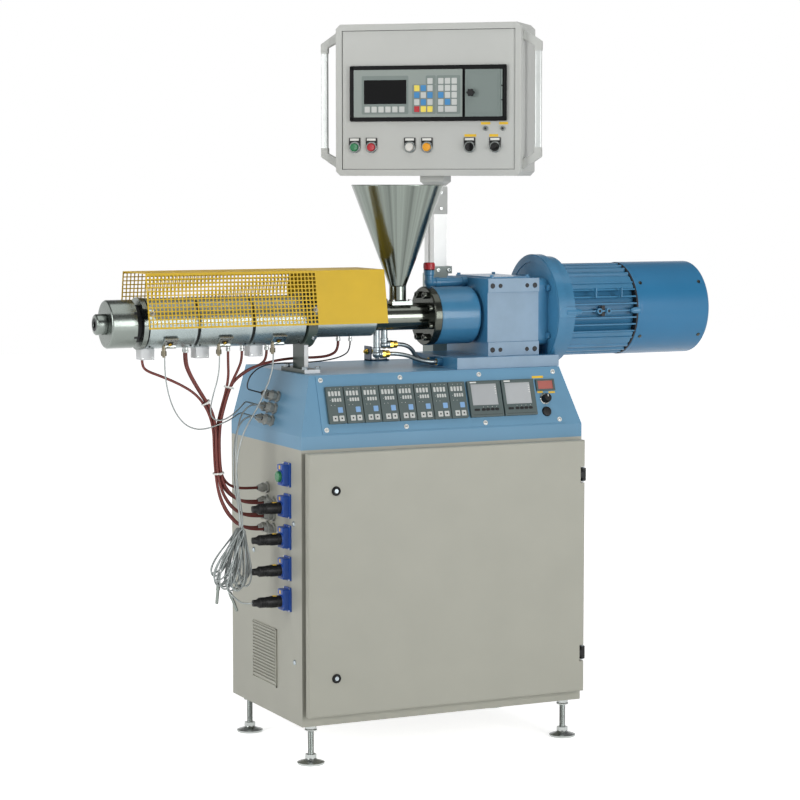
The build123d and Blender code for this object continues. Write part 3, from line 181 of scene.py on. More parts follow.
# Each line: what it is, and what that gives the eye
finish = {
    # structured powder coat on sheet steel: fine orange peel, soft highlights
    "cabinetPaint": makeFinish("powder_coat_warm_grey", "#ABAB9F", 0.48, grainMm=1.6, relief=0.25,
        drift=0.025),
    # blue enamel on folded sheet: smooth, half gloss
    "sheetBlue": makeFinish("enamel_sheet_blue", "#6A98B6", 0.36, grainMm=2.5, relief=0.08, drift=0.05,
        driftMm=300, ior=1.36),
    # blue enamel on castings: the skin of the casting shows through as a coarse peel
    "castBlue": makeFinish("enamel_cast_blue", "#417FA5", 0.34, grainMm=3.0, relief=0.35, drift=0.07,
        driftMm=90, ior=1.36, coat=0.35),
    # blue enamel on the drawn fan cover: smoother than the castings
    "coverBlue": makeFinish("enamel_fan_cover_blue", "#2F77A3", 0.36, grainMm=2.5, relief=0.1, drift=0.05,
        driftMm=200, ior=1.36, coat=0.25),
    # the front faces of the gearbox and its base: a paler copy of the cast blue as painted highlight, over
    # a rough relief
    "gearLitBlue": makeFinish("enamel_gearbox_painted_lit_blue", "#8AA4BA", 0.5, grainMm=2.6, relief=0.55, drift=0.05,
        driftMm=40),
    # yellow powder coat on the guard
    "guardYellow": makeFinish("powder_coat_yellow", "#D8B326", 0.45, grainMm=1.8, relief=0.2, drift=0.05,
        driftMm=80, ior=1.36),
    # pale grey structured coat of the panel housing
    "panelGrey": makeFinish("powder_coat_pale_grey", "#C0C2BE", 0.5, grainMm=1.4, relief=0.3, drift=0.02),
    # the keypad unit's grey foil and flap
    "foilDark": makeFinish("polyester_foil_dark", "#77837F", 0.45, grainMm=0.9, relief=0.1, drift=0.02),
    "foilGrey": makeFinish("polyester_foil_grey", "#8E9893", 0.45, grainMm=0.9, relief=0.1, drift=0.02),
    # bright zinc plate on feet and screws
    "zinc": makeFinish("zinc_plate_bright", "#B4B8B6", 0.24, metallic=1.0, grainMm=0.8, relief=0.05),
    # turned stainless steel: fine rings round the axis
    "turnedSteel": makeFinish("stainless_turned", "#7F8681", 0.24, metallic=1.0, grainMm=1.2, relief=0.12,
        stretch=(6, 0.15, 0.15)),
    # rolled stainless sheet of the hopper, with painted reflection streaks round the cone
    "rolledSteel": makeFinish("stainless_rolled", "#767D77", 0.2, metallic=1.0, grainMm=2.0, relief=0.03,
        stretch=(1.0, 1.0, 0.04), drift=0.4, roundAxis=(*hopperAxis, 0.0)),
    # aluminised sheet of the heater bands: satin, bluish
    "bandSheet": makeFinish("aluminised_sheet", "#9BA6A6", 0.3, metallic=0.85, grainMm=1.6, relief=0.06,
        drift=0.09, driftMm=70),
    # ground steel of the feed section, and black oxide on the bolted flange: oily gloss
    "feedSteel": makeFinish("steel_ground_dark", "#6C7069", 0.15, metallic=0.95, grainMm=1.0, relief=0.05,
        stretch=(5, 0.3, 0.3)),
    "blackOxide": makeFinish("black_oxide_steel", "#474A44", 0.18, metallic=0.9, grainMm=1.0, relief=0.05,
        stretch=(5, 0.3, 0.3)),
    # painted shade: a near-black finish for the shade in gaps, holes, slots and sockets, also used for the
    # band screws and the motor's dark joint
    "paintedShadeDark": makeFinish("painted_shade_dark", "#15171A", 0.6, grainMm=1.0),
    # grey green enamel of the barrel support
    "supportGrey": makeFinish("enamel_grey_green", "#46544E", 0.38, grainMm=2.2, relief=0.15, drift=0.06),
    # paler grey enamel of the column's foot and collar
    "collarGrey": makeFinish("enamel_collar_grey", "#9AA5A0", 0.4, grainMm=2.0, relief=0.12, drift=0.05),
    # pale enamel of the terminal boxes
    "boxGrey": makeFinish("enamel_pale_grey", "#E3E5E6", 0.4, grainMm=1.4, relief=0.1),
    # anodised aluminium extrusion of the post: fine lengthwise draw lines
    "anodised": makeFinish("aluminium_anodised", "#EAEBE9", 0.34, metallic=0.15, grainMm=1.0, relief=0.05,
        stretch=(6, 6, 0.05)),
    # plain steel of small fittings, browned by the heat
    "stubSteel": makeFinish("steel_heat_browned", "#7E7868", 0.36, metallic=0.9, grainMm=1.2, relief=0.1,
        drift=0.12, driftMm=12),
    # chromed rings of the buttons, and the drawn rails of the handles
    "ringChrome": makeFinish("chrome_plate", "#868B89", 0.16, metallic=1.0, grainMm=0.8, relief=0.04),
    "railGrey": makeFinish("aluminium_rail_drawn", "#C9CDCB", 0.32, metallic=0.5, grainMm=1.0, relief=0.05,
        stretch=(6, 6, 0.05)),
    # plain brass fittings
    "brass": makeFinish("brass_turned", "#C9A548", 0.22, metallic=1.0, grainMm=1.0, relief=0.05),
    # dark navy enamel of the valve bracket
    "bracketNavy": makeFinish("enamel_navy", "#1F3B55", 0.3, grainMm=2.0, relief=0.1),
    # galvanised malleable iron elbows: mottled
    "galvanised": makeFinish("galvanised_iron", "#9FA8AC", 0.33, metallic=0.9, grainMm=4.0, relief=0.2,
        drift=0.14, driftMm=14),
    # moulded black plastics
    "blackMoulded": makeFinish("polyamide_black", "#0B0C0D", 0.42, grainMm=0.8, relief=0.1, ior=1.36),
    "blackGloss": makeFinish("abs_black_gloss", "#07080A", 0.2, grainMm=1.0, ior=1.27),
    # moulded blue sockets and their lids
    "socketBlue": makeFinish("polyamide_blue", "#1E4FA6", 0.36, grainMm=0.9, relief=0.08),
    # grey nylon cable glands
    "nylonGrey": makeFinish("nylon_grey", "#A7A9A3", 0.42, grainMm=0.9, relief=0.08),
    "nylonWhite": makeFinish("nylon_white", "#E4E5E0", 0.42, grainMm=0.9),
    # dark slate instrument cases
    "slateMoulded": makeFinish("abs_slate", "#475655", 0.42, grainMm=0.8, relief=0.1),
    "keyGrey": makeFinish("silicone_key_grey", "#C6C9C6", 0.5, grainMm=0.7),
    "screenGrey": makeFinish("lcd_window_grey", "#B0B4B6", 0.32, grainMm=0.6, coat=0.1),
    "screenBlack": makeFinish("lcd_window_black", "#040506", 0.1, grainMm=0.6, ior=1.27),
    "keySky": makeFinish("silicone_key_sky", "#7FA9D6", 0.5, grainMm=0.7),
    "screenRed": makeFinish("led_window_red", "#B5685F", 0.2, grainMm=0.6, coat=0.4),
    # caps of buttons and keys, moulded in colour
    "capGreen": makeFinish("polycarbonate_green", "#1F7A4A", 0.28, grainMm=0.9),
    "capRed": makeFinish("polycarbonate_red", "#B5202A", 0.28, grainMm=0.9),
    "capWhite": makeFinish("polycarbonate_white", "#DAD8D2", 0.3, grainMm=0.9),
    "capAmber": makeFinish("polycarbonate_amber", "#EDA21B", 0.28, grainMm=0.9),
    "keyBlue": makeFinish("foil_key_blue", "#3C86BE", 0.45, grainMm=0.7),
    "keyYellow": makeFinish("foil_key_yellow", "#EFD95C", 0.45, grainMm=0.7),
    "stripYellow": makeFinish("engraved_strip_yellow", "#EBC02B", 0.45, grainMm=0.8),
    # rubber of the door gasket
    "gasket": makeFinish("epdm_black", "#1B1C1C", 0.7, grainMm=1.2, relief=0.2),
    # brown silicone sheath of the heater cables, and the grey glass braid of the sensor leads
    "siliconeBrown": makeFinish("silicone_brown", "#6B2A22", 0.5, grainMm=1.5, relief=0.1, drift=0.1,
        driftMm=30),
    "leadGrey": makeFinish("glass_braid_grey", "#949A99", 0.42, metallic=0.7, grainMm=0.9, relief=0.3,
        drift=0.1, driftMm=20),
    "leadBlack": makeFinish("pvc_black", "#222426", 0.45, grainMm=1.0, relief=0.1),
    "braid": makeFinish("steel_braid_hose", "#8D9597", 0.34, metallic=1.0, grainMm=1.6, relief=0.6,
        drift=0.2, driftMm=6),
}

# The slots of the pieces added here, each with the finishes that it covers
slots = {
    "grey_paint": ["cabinetPaint"], "panel_paint": ["panelGrey"], "pale_box": ["boxGrey"],
        "anodised": ["railGrey"],
    "blue_paint": ["castBlue", "coverBlue", "gearLitBlue", "bracketNavy"], "band_steel": ["bandSheet"],
    "steel": ["turnedSteel", "rolledSteel"], "dark_steel": ["blackOxide", "paintedShadeDark"], "brass": ["brass"],
    "zinc": ["zinc", "galvanised", "stubSteel", "ringChrome"], "slate_plastic": ["slateMoulded"],
    "black_plastic": ["blackMoulded", "blackGloss", "screenBlack", "gasket"],
    "grey_plastic": ["nylonGrey", "foilGrey", "foilDark", "screenGrey"],
    "white_plastic": ["nylonWhite", "keyGrey", "capWhite"], "green_plastic": ["capGreen"],
    "blue_plastic": ["socketBlue", "keySky", "keyBlue"], "red_plastic": ["capRed", "screenRed"],
    "amber_plastic": ["stripYellow", "keyYellow", "capAmber"], "brown_rubber": ["siliconeBrown"],
    "grey_rubber": ["leadGrey", "leadBlack"], "braid": ["braid"],
}

print("stage 2: camera and light")
studio = {"lens": 110.48, "pitch": 84.84, "yaw": -25.55, "place": (-2395.7, -5579.9, 1476.4)}
camera = bpy.data.cameras.new("camera")
camera.lens = studio["lens"]
camera.sensor_width = 36.0
camera.clip_end = 60.0
cameraObject = bpy.data.objects.new("camera", camera)
cameraObject.location = metres(*studio["place"])
cameraObject.rotation_euler = (radians(studio["pitch"]), 0, radians(studio["yaw"]))
scene.collection.objects.link(cameraObject)
scene.camera = cameraObject
scene.view_settings.view_transform = "Standard"


# The rays that see the backdrop: the camera's, and those that metal and glass send on
def raysThatSee(tree):
    rays = addNode(tree, "ShaderNodeLightPath")
    first = addNode(tree, "ShaderNodeMath", {"operation": "MAXIMUM"},
        links={0: rays.outputs["Is Camera Ray"], 1: rays.outputs["Is Glossy Ray"]})
    both = addNode(tree, "ShaderNodeMath", {"operation": "MAXIMUM"},
        links={0: first.outputs["Value"], 1: rays.outputs["Is Transmission Ray"]})
    return both.outputs["Value"]


# A white room
world = bpy.data.worlds.new("studio")
world.use_nodes = True
tree = world.node_tree
sky = tree.nodes["Background"]
seen = raysThatSee(tree)
level = addNode(tree, "ShaderNodeMapRange", values={"To Min": 0.3, "To Max": 1.0}, links={"Value": seen})
tree.links.new(level.outputs["Result"], sky.inputs["Strength"])
# white round the horizon and dim overhead, so that polished metal shows a bright band under a dark top
upward = addNode(tree, "ShaderNodeSeparateXYZ",
    links={0: addNode(tree, "ShaderNodeTexCoord").outputs["Generated"]})
fade = addNode(tree, "ShaderNodeMapRange", values={"From Min": 0.16, "From Max": 0.5, "To Min": 1.0,
    "To Max": 0.2}, links={"Value": upward.outputs["Z"]})
tree.links.new(fade.outputs["Result"], sky.inputs["Color"])
scene.world = world

# Soft boxes: a large one ahead, weaker ones from the left and from above
lamps = {"key": ((1.4, -4.6, 1.5), 98.0, 2.0), "fill": ((-4.3, -0.7, 2.0), 88.0, 2.2),
    "top": ((0.2, -0.6, 4.2), 52.0, 3.4)}
for name, (place, power, size) in lamps.items():
    lamp = bpy.data.lights.new(name, "AREA")
    lamp.energy = power
    lamp.size = size
    lampObject = bpy.data.objects.new(name, lamp)
    lampObject.location = place
    lampObject.rotation_euler = (Vector((0, 0, 1.0)) - Vector(place)).to_track_quat("-Z", "Y").to_euler()
    scene.collection.objects.link(lampObject)

# A pale floor that stays white to the camera apart from the object's shadow
material, tree, shader = newMaterial("floor_pale")
shader.inputs["Base Color"].default_value = (0.9, 0.9, 0.9, 1)
shader.inputs["Roughness"].default_value = 0.9
away = addNode(tree, "ShaderNodeVectorMath", {"operation": "LENGTH"},
    links={0: addNode(tree, "ShaderNodeTexCoord").outputs["Object"]})
lift = addNode(tree, "ShaderNodeMapRange", values={"From Min": 1.0, "From Max": 3.5, "To Min": 0.78,
    "To Max": 1.0}, links={"Value": away.outputs["Value"]})
glow = addNode(tree, "ShaderNodeEmission", values={"Color": (1, 1, 1, 1)},
    links={"Strength": lift.outputs["Result"]})
both = addNode(tree, "ShaderNodeAddShader", links={0: shader.outputs["BSDF"], 1: glow.outputs["Emission"]})
choice = addNode(tree, "ShaderNodeMixShader", links={"Fac": raysThatSee(tree), 1: shader.outputs["BSDF"],
    2: both.outputs["Shader"]})
tree.links.new(choice.outputs["Shader"], tree.nodes["Material Output"].inputs["Surface"])
bm = bmesh.new()
bmesh.ops.create_grid(bm, x_segments=2, y_segments=2, size=14.0)
floorMesh = bpy.data.meshes.new("floor")
bm.to_mesh(floorMesh)
bm.free()
floorMesh.materials.append(material)
floor = bpy.data.objects.new("floor", floorMesh)
scene.collection.objects.link(floor)

print("stage 3: cords")
gland = -30.0  # where the side glands' noses end
plugTip = -98.5
port = 448.0
mouth = {}  # where the hood's sensor glands end, and the point straight ahead of it
for column in range(len(hoodGland["columns"])):
    for row in range(hoodGland["rows"]):
        seat = hoodGlandSeat(column, row)
        reaches = (hoodGland["nose"], hoodGland["nose"] + hoodGland["straight"])
        mouth[column, row] = [tuple(seat @ Vector((0, 0, reach))) for reach in reaches]

heaterRoutes = [
    [(-346, 197, 1030), (-346, 197, 1010), (-332, 196.5, 997), (-303, 195, 986), (-256, 191, 966),
     (-213, 188, 941), (-187, 186, 912), (-170, 185, 878), (-161.5, 185, 841), (-160.6, 185, 801),
     (-159, 185, 757), (-155, 183.5, 710), (-142, 181, 660), (-113, 179, 613), (-72, 178, 584),
     (gland, 178, 584)],
    [(-236, 178.4, 1042), (-236, 178.4, 1016), (-225, 178.4, 988), (-209, 178.4, 960), (-190, 178.4, 930),
     (-171, 178.4, 901), (-160, 178.4, 868), (-157, 178.4, 832), (-156.8, 178.4, 794), (-155.2, 178.4, 754),
     (-150, 178.3, 712), (-136, 178.2, 674), (-108, 178.1, 638), (-71, 178, 618), (gland, 178, 618)],
    [(-236, 191.6, 1042), (-236, 191.6, 1016), (-225, 191.6, 988), (-209, 191.6, 960), (-190, 191.6, 930),
     (-171, 191.6, 901), (-160, 191.6, 868), (-157, 191.6, 832), (-156.8, 191.6, 794), (-155.4, 191.6, 752),
     (-151, 193, 706), (-139, 199, 662), (-115, 209, 621), (-74, 219, 584), (gland, 219, 584)],
    [(-121, 185, 1042), (-121, 185, 1014), (-120, 185, 976), (-128, 185, 938), (-140, 185, 900),
     (-149.5, 185, 864), (-153, 185, 828), (-153.2, 185, 790), (-151.8, 185, 752), (-146, 188, 712),
     (-132, 195, 674), (-107, 206, 641), (-71, 219, 618), (gland, 219, 618)],
    [(-86, 178.4, 1042), (-86, 178.4, 1020), (-97, 178.4, 994), (-112, 178.4, 967), (-124.2, 178.4, 938),
     (-136.2, 178.4, 900), (-145.7, 178.4, 864), (-149.2, 178.4, 828), (-149.4, 178.4, 790),
     (-148, 178.4, 754), (-143, 178.2, 720), (-128, 178.2, 690), (-104, 178.1, 667), (-70, 178, 652),
     (gland, 178, 652)],
    [(-16, 185, 1042), (-16, 185, 1020), (-34, 185, 1004), (-62, 185, 996), (-89, 185, 981),
     (-110, 185, 960), (-120.5, 185, 937), (-132.4, 185, 900), (-141.9, 185, 864), (-145.4, 185, 828),
     (-145.6, 185, 790), (-144, 185, 754), (-138, 189, 724), (-118, 199, 701), (-90, 211, 690),
     (-61, 219, 686), (gland, 219, 686)],
    [(190, 200, 1058.5), (190, 200, 1034), (168, 206, 1020), (136, 216, 1016), (97, 226, 1016),
     (54, 228, 1014), (10, 219, 1009), (-34, 207, 1001), (-71, 197, 986), (-99, 192.4, 968),
     (-117, 191.6, 946), (-125.5, 191.6, 922), (-136.2, 191.6, 896), (-145.7, 191.6, 862),
     (-149.2, 191.6, 826), (-149.4, 191.6, 788), (-148, 191.6, 752), (-142, 195, 718), (-126, 203, 688),
     (-100, 213, 666), (-67, 219, 652), (gland, 219, 652)],
]
leadRoutes = [
    [(-307.5, 139, 1034.4), (-307.5, 139, 1004), (-302.5, 141, 966), (-292, 144, 926), (-274, 149, 890),
     (-248, 155, 862), (-216, 161, 849), (-186, 165, 850), (-160, 167.5, 857), (-136, 168.5, 864),
     (-112, 178, 873), (-90, 198, 880), (-70, 222, 881), mouth[1, 2][1], mouth[1, 2][0]],
    [(-162, 139, 1034.4), (-162, 139, 1006), (-167.5, 141, 972), (-177, 145, 938), (-183, 150, 906),
     (-179, 156, 882), (-165, 160, 870), (-144, 161, 870), (-122, 166, 879), (-99, 178, 891),
     (-78, 198, 902), (-60, 222, 909), mouth[1, 1][1], mouth[1, 1][0]],
]
leadToHank = [
    [(-16.5, 139, 1034.4), (-16.5, 139, 1007), (-26, 139, 972), (-41, 139, 938), (-58, 139, 904),
     (-79, 139, 872), (-99, 138.5, 838), (-112, 138, 798), (-119, 137, 756), (-120, 136.5, 714),
     (-116, 137, 674), (-110, 138, 634), (-110, 138, 606)],
    [mouth[0, 2][0], mouth[0, 2][1], (-76, 197, 867), (-95, 190, 843), (-106, 182, 808), (-112, 174, 768),
     (-115, 166, 726), (-114, 160, 688), (-109, 155, 658), (-106, 152, 632), (-106, 152, 606)],
    [mouth[0, 1][0], mouth[0, 1][1], (-68, 196, 896), (-88, 188, 872), (-100, 178, 838), (-107, 169, 798),
     (-110, 161, 756), (-111, 153, 714), (-107, 146, 668), (-102, 143, 632), (-102, 143, 606)],
]
jacketRoute = [(215, 180, 1058.5), (215, 180, 1034), (196, 190, 1018), (164, 205, 1009), (127, 222, 1004),
    (86, 236, 1002), (44, 240, 1003), (4, 230, 1001), (-28, 216, 993), (-53, 206, 976), (-62, 204, 955),
    (-54, 222, 940), mouth[1, 0][1], mouth[1, 0][0]]
hoseRoutes = [
    [(326, 180, 1022), (366, 180, 1022), (412, 150, 999), (port, 150, 999)],
    [(348, 180, 1046), (385, 180, 1046), (417, 195, 999), (port, 195, 999)],
]

# The hank: spare lead in long loops that hang from one gathering point and spread like a fan
hank = {"x": -106.0, "z": 590.0}


def hankLoops(loops):
    shape = ((0.03, 0.42), (0.2, 0.5), (0.45, 0.8), (0.7, 1.0), (0.9, 0.85), (1.0, 0.3), (1.0, -0.3),
        (0.9, -0.85), (0.7, -1.0), (0.45, -0.8), (0.2, -0.5), (0.03, -0.42), (-0.02, -0.2), (-0.02, 0.2))
    points = []
    for tipX, tipZ, half, y in loops:
        line = Vector((tipX - hank["x"], tipZ - hank["z"]))
        aside = Vector((-line.y, line.x)).normalized()
        for i, (reach, across) in enumerate(shape):
            place = reach * line + half * across * aside
            points.append((hank["x"] + place.x, y + 0.14 * i, hank["z"] + place.y))
    return points


def makeCord(name, points, diameterMm, material, lengthMm, replaced, farEnd="object", stiffness="limp",
        lay="hanging", ends=()):
    curve = bpy.data.curves.new(name, "CURVE")
    curve.dimensions = "3D"
    curve.bevel_depth = diameterMm / 2000
    curve.bevel_resolution = 4
    curve.resolution_u = 10
    curve.use_fill_caps = True
    spline = curve.splines.new("NURBS")
    spline.points.add(len(points) - 1)
    for point, place in zip(spline.points, points):
        point.co = (*metres(*place), 1.0)
    spline.order_u = 3
    spline.use_endpoint_u = True
    curve.materials.append(finish[material])
    piece = bpy.data.objects.new(name, curve)
    scene.collection.objects.link(piece)
    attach(piece, "machine")
    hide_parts(*replaced)


# Name, routes, lengths and diameter in millimetres, finish, the node it stands for, and how it lies
hoseManner = {"stiffness": "medium", "lay": "loose"}
cordSets = [
    ("heater_cable", heaterRoutes, (612, 516, 547, 502, 476, 500, 736), 7.0, "siliconeBrown",
     "heater_cables", {}),
    ("sensor_lead", leadRoutes, (452, 365), 3.6, "leadGrey", "sensor_leads", {}),
    ("jacket_lead", [jacketRoute], (423,), 3.6, "leadBlack", "sensor_leads", {}),
    ("water_hose", hoseRoutes, (130, 117), 11.0, "braid", "cooling_hoses", hoseManner),
]
for name, routes, lengths, diameter, material, node, manner in cordSets:
    for i, (route, length) in enumerate(zip(routes, lengths)):
        label = name if len(routes) == 1 else f"{name}_{i + 1}"
        makeCord(label, route, diameter, material, length, [node], **manner)

print("stage 4: mesh helpers")


def bevelEdges(bm, edges, size, steps=2):
    bmesh.ops.bevel(bm, geom=list(edges), offset=size, offset_type="OFFSET", segments=steps, profile=0.5,
        affect="EDGES", material=-1, clamp_overlap=True)


def edgesOf(verts):
    return {edge for vert in verts for edge in vert.link_edges}


# A block by its size, centred on the seat, with its edges rounded
def addBlock(bm, seat, size, rounding=0.0, steps=2):
    made = bmesh.ops.create_cube(bm, size=1.0, matrix=seat @ Matrix.Diagonal((*size, 1.0)))
    if rounding:
        bevelEdges(bm, edgesOf(made["verts"]), rounding, steps)


# A plate that stands on the seat, from its lower left corner
def addPlate(bm, seat, x, y, thick, lift=0.0, rounding=0.0, steps=2):
    centre = shifted(seat, (x[0] + x[1]) / 2, (y[0] + y[1]) / 2, lift + thick / 2)
    addBlock(bm, centre, (x[1] - x[0], y[1] - y[0], thick), rounding, steps)


# A plate whose four upright corners are rounded more than its rim
def addPad(bm, seat, x, y, thick, corner, lift=0.0, rim=0.4):
    centre = shifted(seat, (x[0] + x[1]) / 2, (y[0] + y[1]) / 2, lift + thick / 2)
    size = (x[1] - x[0], y[1] - y[0], thick, 1.0)
    made = bmesh.ops.create_cube(bm, size=1.0, matrix=centre @ Matrix.Diagonal(size))
    out = seat.col[2].xyz
    upright = [edge for edge in edgesOf(made["verts"])
               if abs((edge.verts[0].co - edge.verts[1].co).normalized().dot(out)) > 0.9]
    bevelEdges(bm, upright, corner, 5)
    if rim:
        back = seat.inverted()

        def onTop(vert):
            place = back @ vert.co
            inside = x[0] - 0.1 <= place.x <= x[1] + 0.1 and y[0] - 0.1 <= place.y <= y[1] + 0.1
            return inside and abs(place.z - lift - thick) < 0.01

        edges = [edge for edge in bm.edges if edge.calc_length() > 0]
        bevelEdges(bm, [edge for edge in edges if all(onTop(vert) for vert in edge.verts)], rim)


# Plates of one thickness by their (left, right, bottom, top)
def addPlates(bm, seat, spans, thick, lift=0.0, rounding=0.0):
    for left, right, bottom, top in spans:
        addPlate(bm, seat, (left, right), (bottom, top), thick, lift, rounding)


# Grip ribs round a cap
def addRidges(bm, seat, step, radius, height, size, rounding):
    for turn in range(0, 360, step):
        ridge = shifted(seat, radius * cos(radians(turn)), radius * sin(radians(turn)), height, turn)
        addBlock(bm, ridge, size, rounding)


# Points of an arc for a turned form, every 15 degrees
def arc(x, z, radius, start, end):
    return [(x + radius * cos(radians(t)), z + radius * sin(radians(t))) for t in range(start, end + 1, 15)]


# A turned form: (radius, height) pairs spun round the seat's outward line
def addTurned(bm, seat, profile, steps=40):
    part = bmesh.new()
    verts = [part.verts.new((radius, 0, height)) for radius, height in profile]
    edges = [part.edges.new(pair) for pair in zip(verts, verts[1:])]
    bmesh.ops.spin(part, geom=verts + edges, cent=(0, 0, 0), axis=(0, 0, 1), angle=2 * pi, steps=steps,
        use_merge=True)
    bmesh.ops.remove_doubles(part, verts=part.verts, dist=1e-4)
    part.transform(seat)
    bmesh.ops.recalc_face_normals(part, faces=part.faces)
    joinInto(bm, part)


def joinInto(bm, part):
    loose = bpy.data.meshes.new("loose")
    part.to_mesh(loose)
    bm.from_mesh(loose)
    bpy.data.meshes.remove(loose)
    part.free()


# A turned form that is closed on both ends and whose outer corners are eased
def addDrum(bm, seat, radius, low, high, ease=1.0, steps=48):
    addTurned(bm, seat, [(0, low), (radius - ease, low), (radius, low + ease), (radius, high - ease),
        (radius - ease, high), (0, high)], steps)


# A tube: outer and inner wall, with eased outer corners
def addSleeve(bm, seat, outer, inner, low, high, ease=1.0, steps=48):
    addTurned(bm, seat, [(inner, low), (outer - ease, low), (outer, low + ease), (outer, high - ease),
        (outer - ease, high), (inner, high), (inner, low)], steps)


def addHex(bm, seat, width, low, high, ease=0.8):
    matrix = shifted(seat, z=(low + high) / 2)
    made = bmesh.ops.create_cone(bm, cap_ends=True, segments=6, radius1=width / sqrt(3),
        radius2=width / sqrt(3), depth=high - low, matrix=matrix)
    if ease:
        bevelEdges(bm, edgesOf(made["verts"]), ease)


# A flat outline pushed out along the seat's outward line
def addPrism(bm, seat, outline, low, high, rounding=0.0, steps=2):
    part = bmesh.new()
    face = part.faces.new([part.verts.new((x, y, low)) for x, y in outline])
    grown = bmesh.ops.extrude_face_region(part, geom=[face])
    lifted = [item for item in grown["geom"] if isinstance(item, bmesh.types.BMVert)]
    bmesh.ops.translate(part, verts=lifted, vec=(0, 0, high - low))
    if rounding:
        bevelEdges(part, part.edges, rounding, steps)
    part.transform(seat)
    bmesh.ops.recalc_face_normals(part, faces=part.faces)
    joinInto(bm, part)


# The head of a cap screw, with its socket sunk in
def addScrewHead(bm, seat, radius, height, low=0.0):
    addTurned(bm, seat, [(0, low), (radius, low), (radius, low + 0.8 * height),
        (radius * 0.85, low + height), (radius * 0.5, low + height), (radius * 0.5, low + 0.5 * height),
        (0, low + 0.5 * height)], 20)


def addCrossScrew(bm, seat, radius, height):
    addTurned(bm, seat, [(0, 0), (radius, 0), (radius, height * 0.4), (radius * 0.6, height), (0, height)],
        16)


sharpAngle = radians(38)  # edges that turn more than this stay crisp


def finishPiece(name, bm, material, replaced=None, body="machine"):
    bm.transform(toModel)
    bmesh.ops.recalc_face_normals(bm, faces=bm.faces)
    mesh = bpy.data.meshes.new(name)
    bm.to_mesh(mesh)
    bm.free()
    mesh.materials.append(finish[material])
    mesh.polygons.foreach_set("use_smooth", [True] * len(mesh.polygons))
    mesh.set_sharp_from_angle(angle=sharpAngle)
    piece = bpy.data.objects.new(name, mesh)
    scene.collection.objects.link(piece)
    # flat faces and straight walls shade straight to their edges
    even = piece.modifiers.new("even_faces", "WEIGHTED_NORMAL")
    even.keep_sharp = True
    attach(piece, body)
    if replaced:
        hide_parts(replaced)
    return piece


# A piece that is one turned form
def turnedPiece(name, material, seat, profile, steps, replaced=None):
    bm = bmesh.new()
    addTurned(bm, seat, profile, steps)
    finishPiece(name, bm, material, replaced)


def dressNode(material, *names):
    for name in names:
        nodes[name].data.materials.clear()
        nodes[name].data.materials.append(finish[material])


print("stage 5: cabinet")
dressNode("cabinetPaint", "cabinet_side_walls", "cabinet_decks", "cabinet_back_wall", "cabinet_front_rim",
    "cabinet_door")
dressNode("blackMoulded", "hinge_brackets", "door_hinges")

# rubber gasket on the rim's collar, under the door
bm = bmesh.new()
for x, z, wide, high in ((35, 462.5, 8, 593), (765, 462.5, 8, 593), (400, 166, 738, 8), (400, 759, 738, 8)):
    addBlock(bm, frontSeat(x, -8.3, z), (wide, high, 2.4), 1.0)
finishPiece("door_gasket", bm, "gasket")

# quarter-turn locks: a dished body and a slotted barrel
bodyBm, slotBm = bmesh.new(), bmesh.new()
for z in (226.0, 700.0):
    seat = frontSeat(80.0, -32.0, z)
    addTurned(bodyBm, seat, [(0, 0), (12, 0), (12, 2), (10.5, 5), (8, 6), (7, 3), (0, 3)], 32)
    addBlock(slotBm, shifted(seat, z=3.6, turn=45), (9, 2.4, 1.4), 0.3)
    addDrum(slotBm, shifted(seat, z=2.6), 5.4, 0, 0.9, 0.2, 24)
finishPiece("lock_bodies", bodyBm, "blackMoulded", "door_locks", "door")
finishPiece("lock_barrels", slotBm, "galvanised", body="door")

# levelling feet: turned pads, hexagon nuts and threaded stems
bm = bmesh.new()
for x in (36.0, 764.0):
    for y in (30.0, 440.0):
        seat = topSeat(x, y, 0)
        addTurned(bm, seat, [(0, 0), (34, 0), (35, 1.2), (35, 5.5), (30, 7.5), (17, 11), (14, 13.5),
            (12, 20), (0, 20)], 48)
        thread = [(0, 19)]
        for i in range(34):
            thread += [(8.0, 19.5 + 2.1 * i), (7.0, 20.5 + 2.1 * i)]
        addTurned(bm, seat, thread + [(7.5, 92), (0, 92)], 20)
        addHex(bm, seat, 26, 14, 26, 1.2)
        addHex(bm, seat, 26, 90, 101.8, 1.2)
        addTurned(bm, seat, [(0, 86), (15, 86), (16, 87), (16, 89), (15, 90), (0, 90)], 28)
finishPiece("levelling_feet_turned", bm, "zinc", "levelling_feet")

# three dome bolts on the left side
bm = bmesh.new()
for y, z in ((49.0, 612.0), (46.0, 260.0), (315.0, 511.0)):
    addTurned(bm, shifted(leftWall, -y, z), [(0, 0), (7, 0), (7, 1), (5.5, 3.2), (2.5, 4.4), (0, 4.6)], 20)
finishPiece("side_bolts", bm, "galvanised")

# hinge pins with domed ends
bm = bmesh.new()
for z in (232.0, 704.0):
    seat = topSeat(793.0, -21.0, z)
    for end in (-1, 1):
        addTurned(bm, seat, [(0, end * 16.6), (4.6, end * 16.6), (4.6, end * 18.2), (3, end * 19.4),
            (0, end * 19.6)], 20)
finishPiece("hinge_pin_ends", bm, "galvanised")

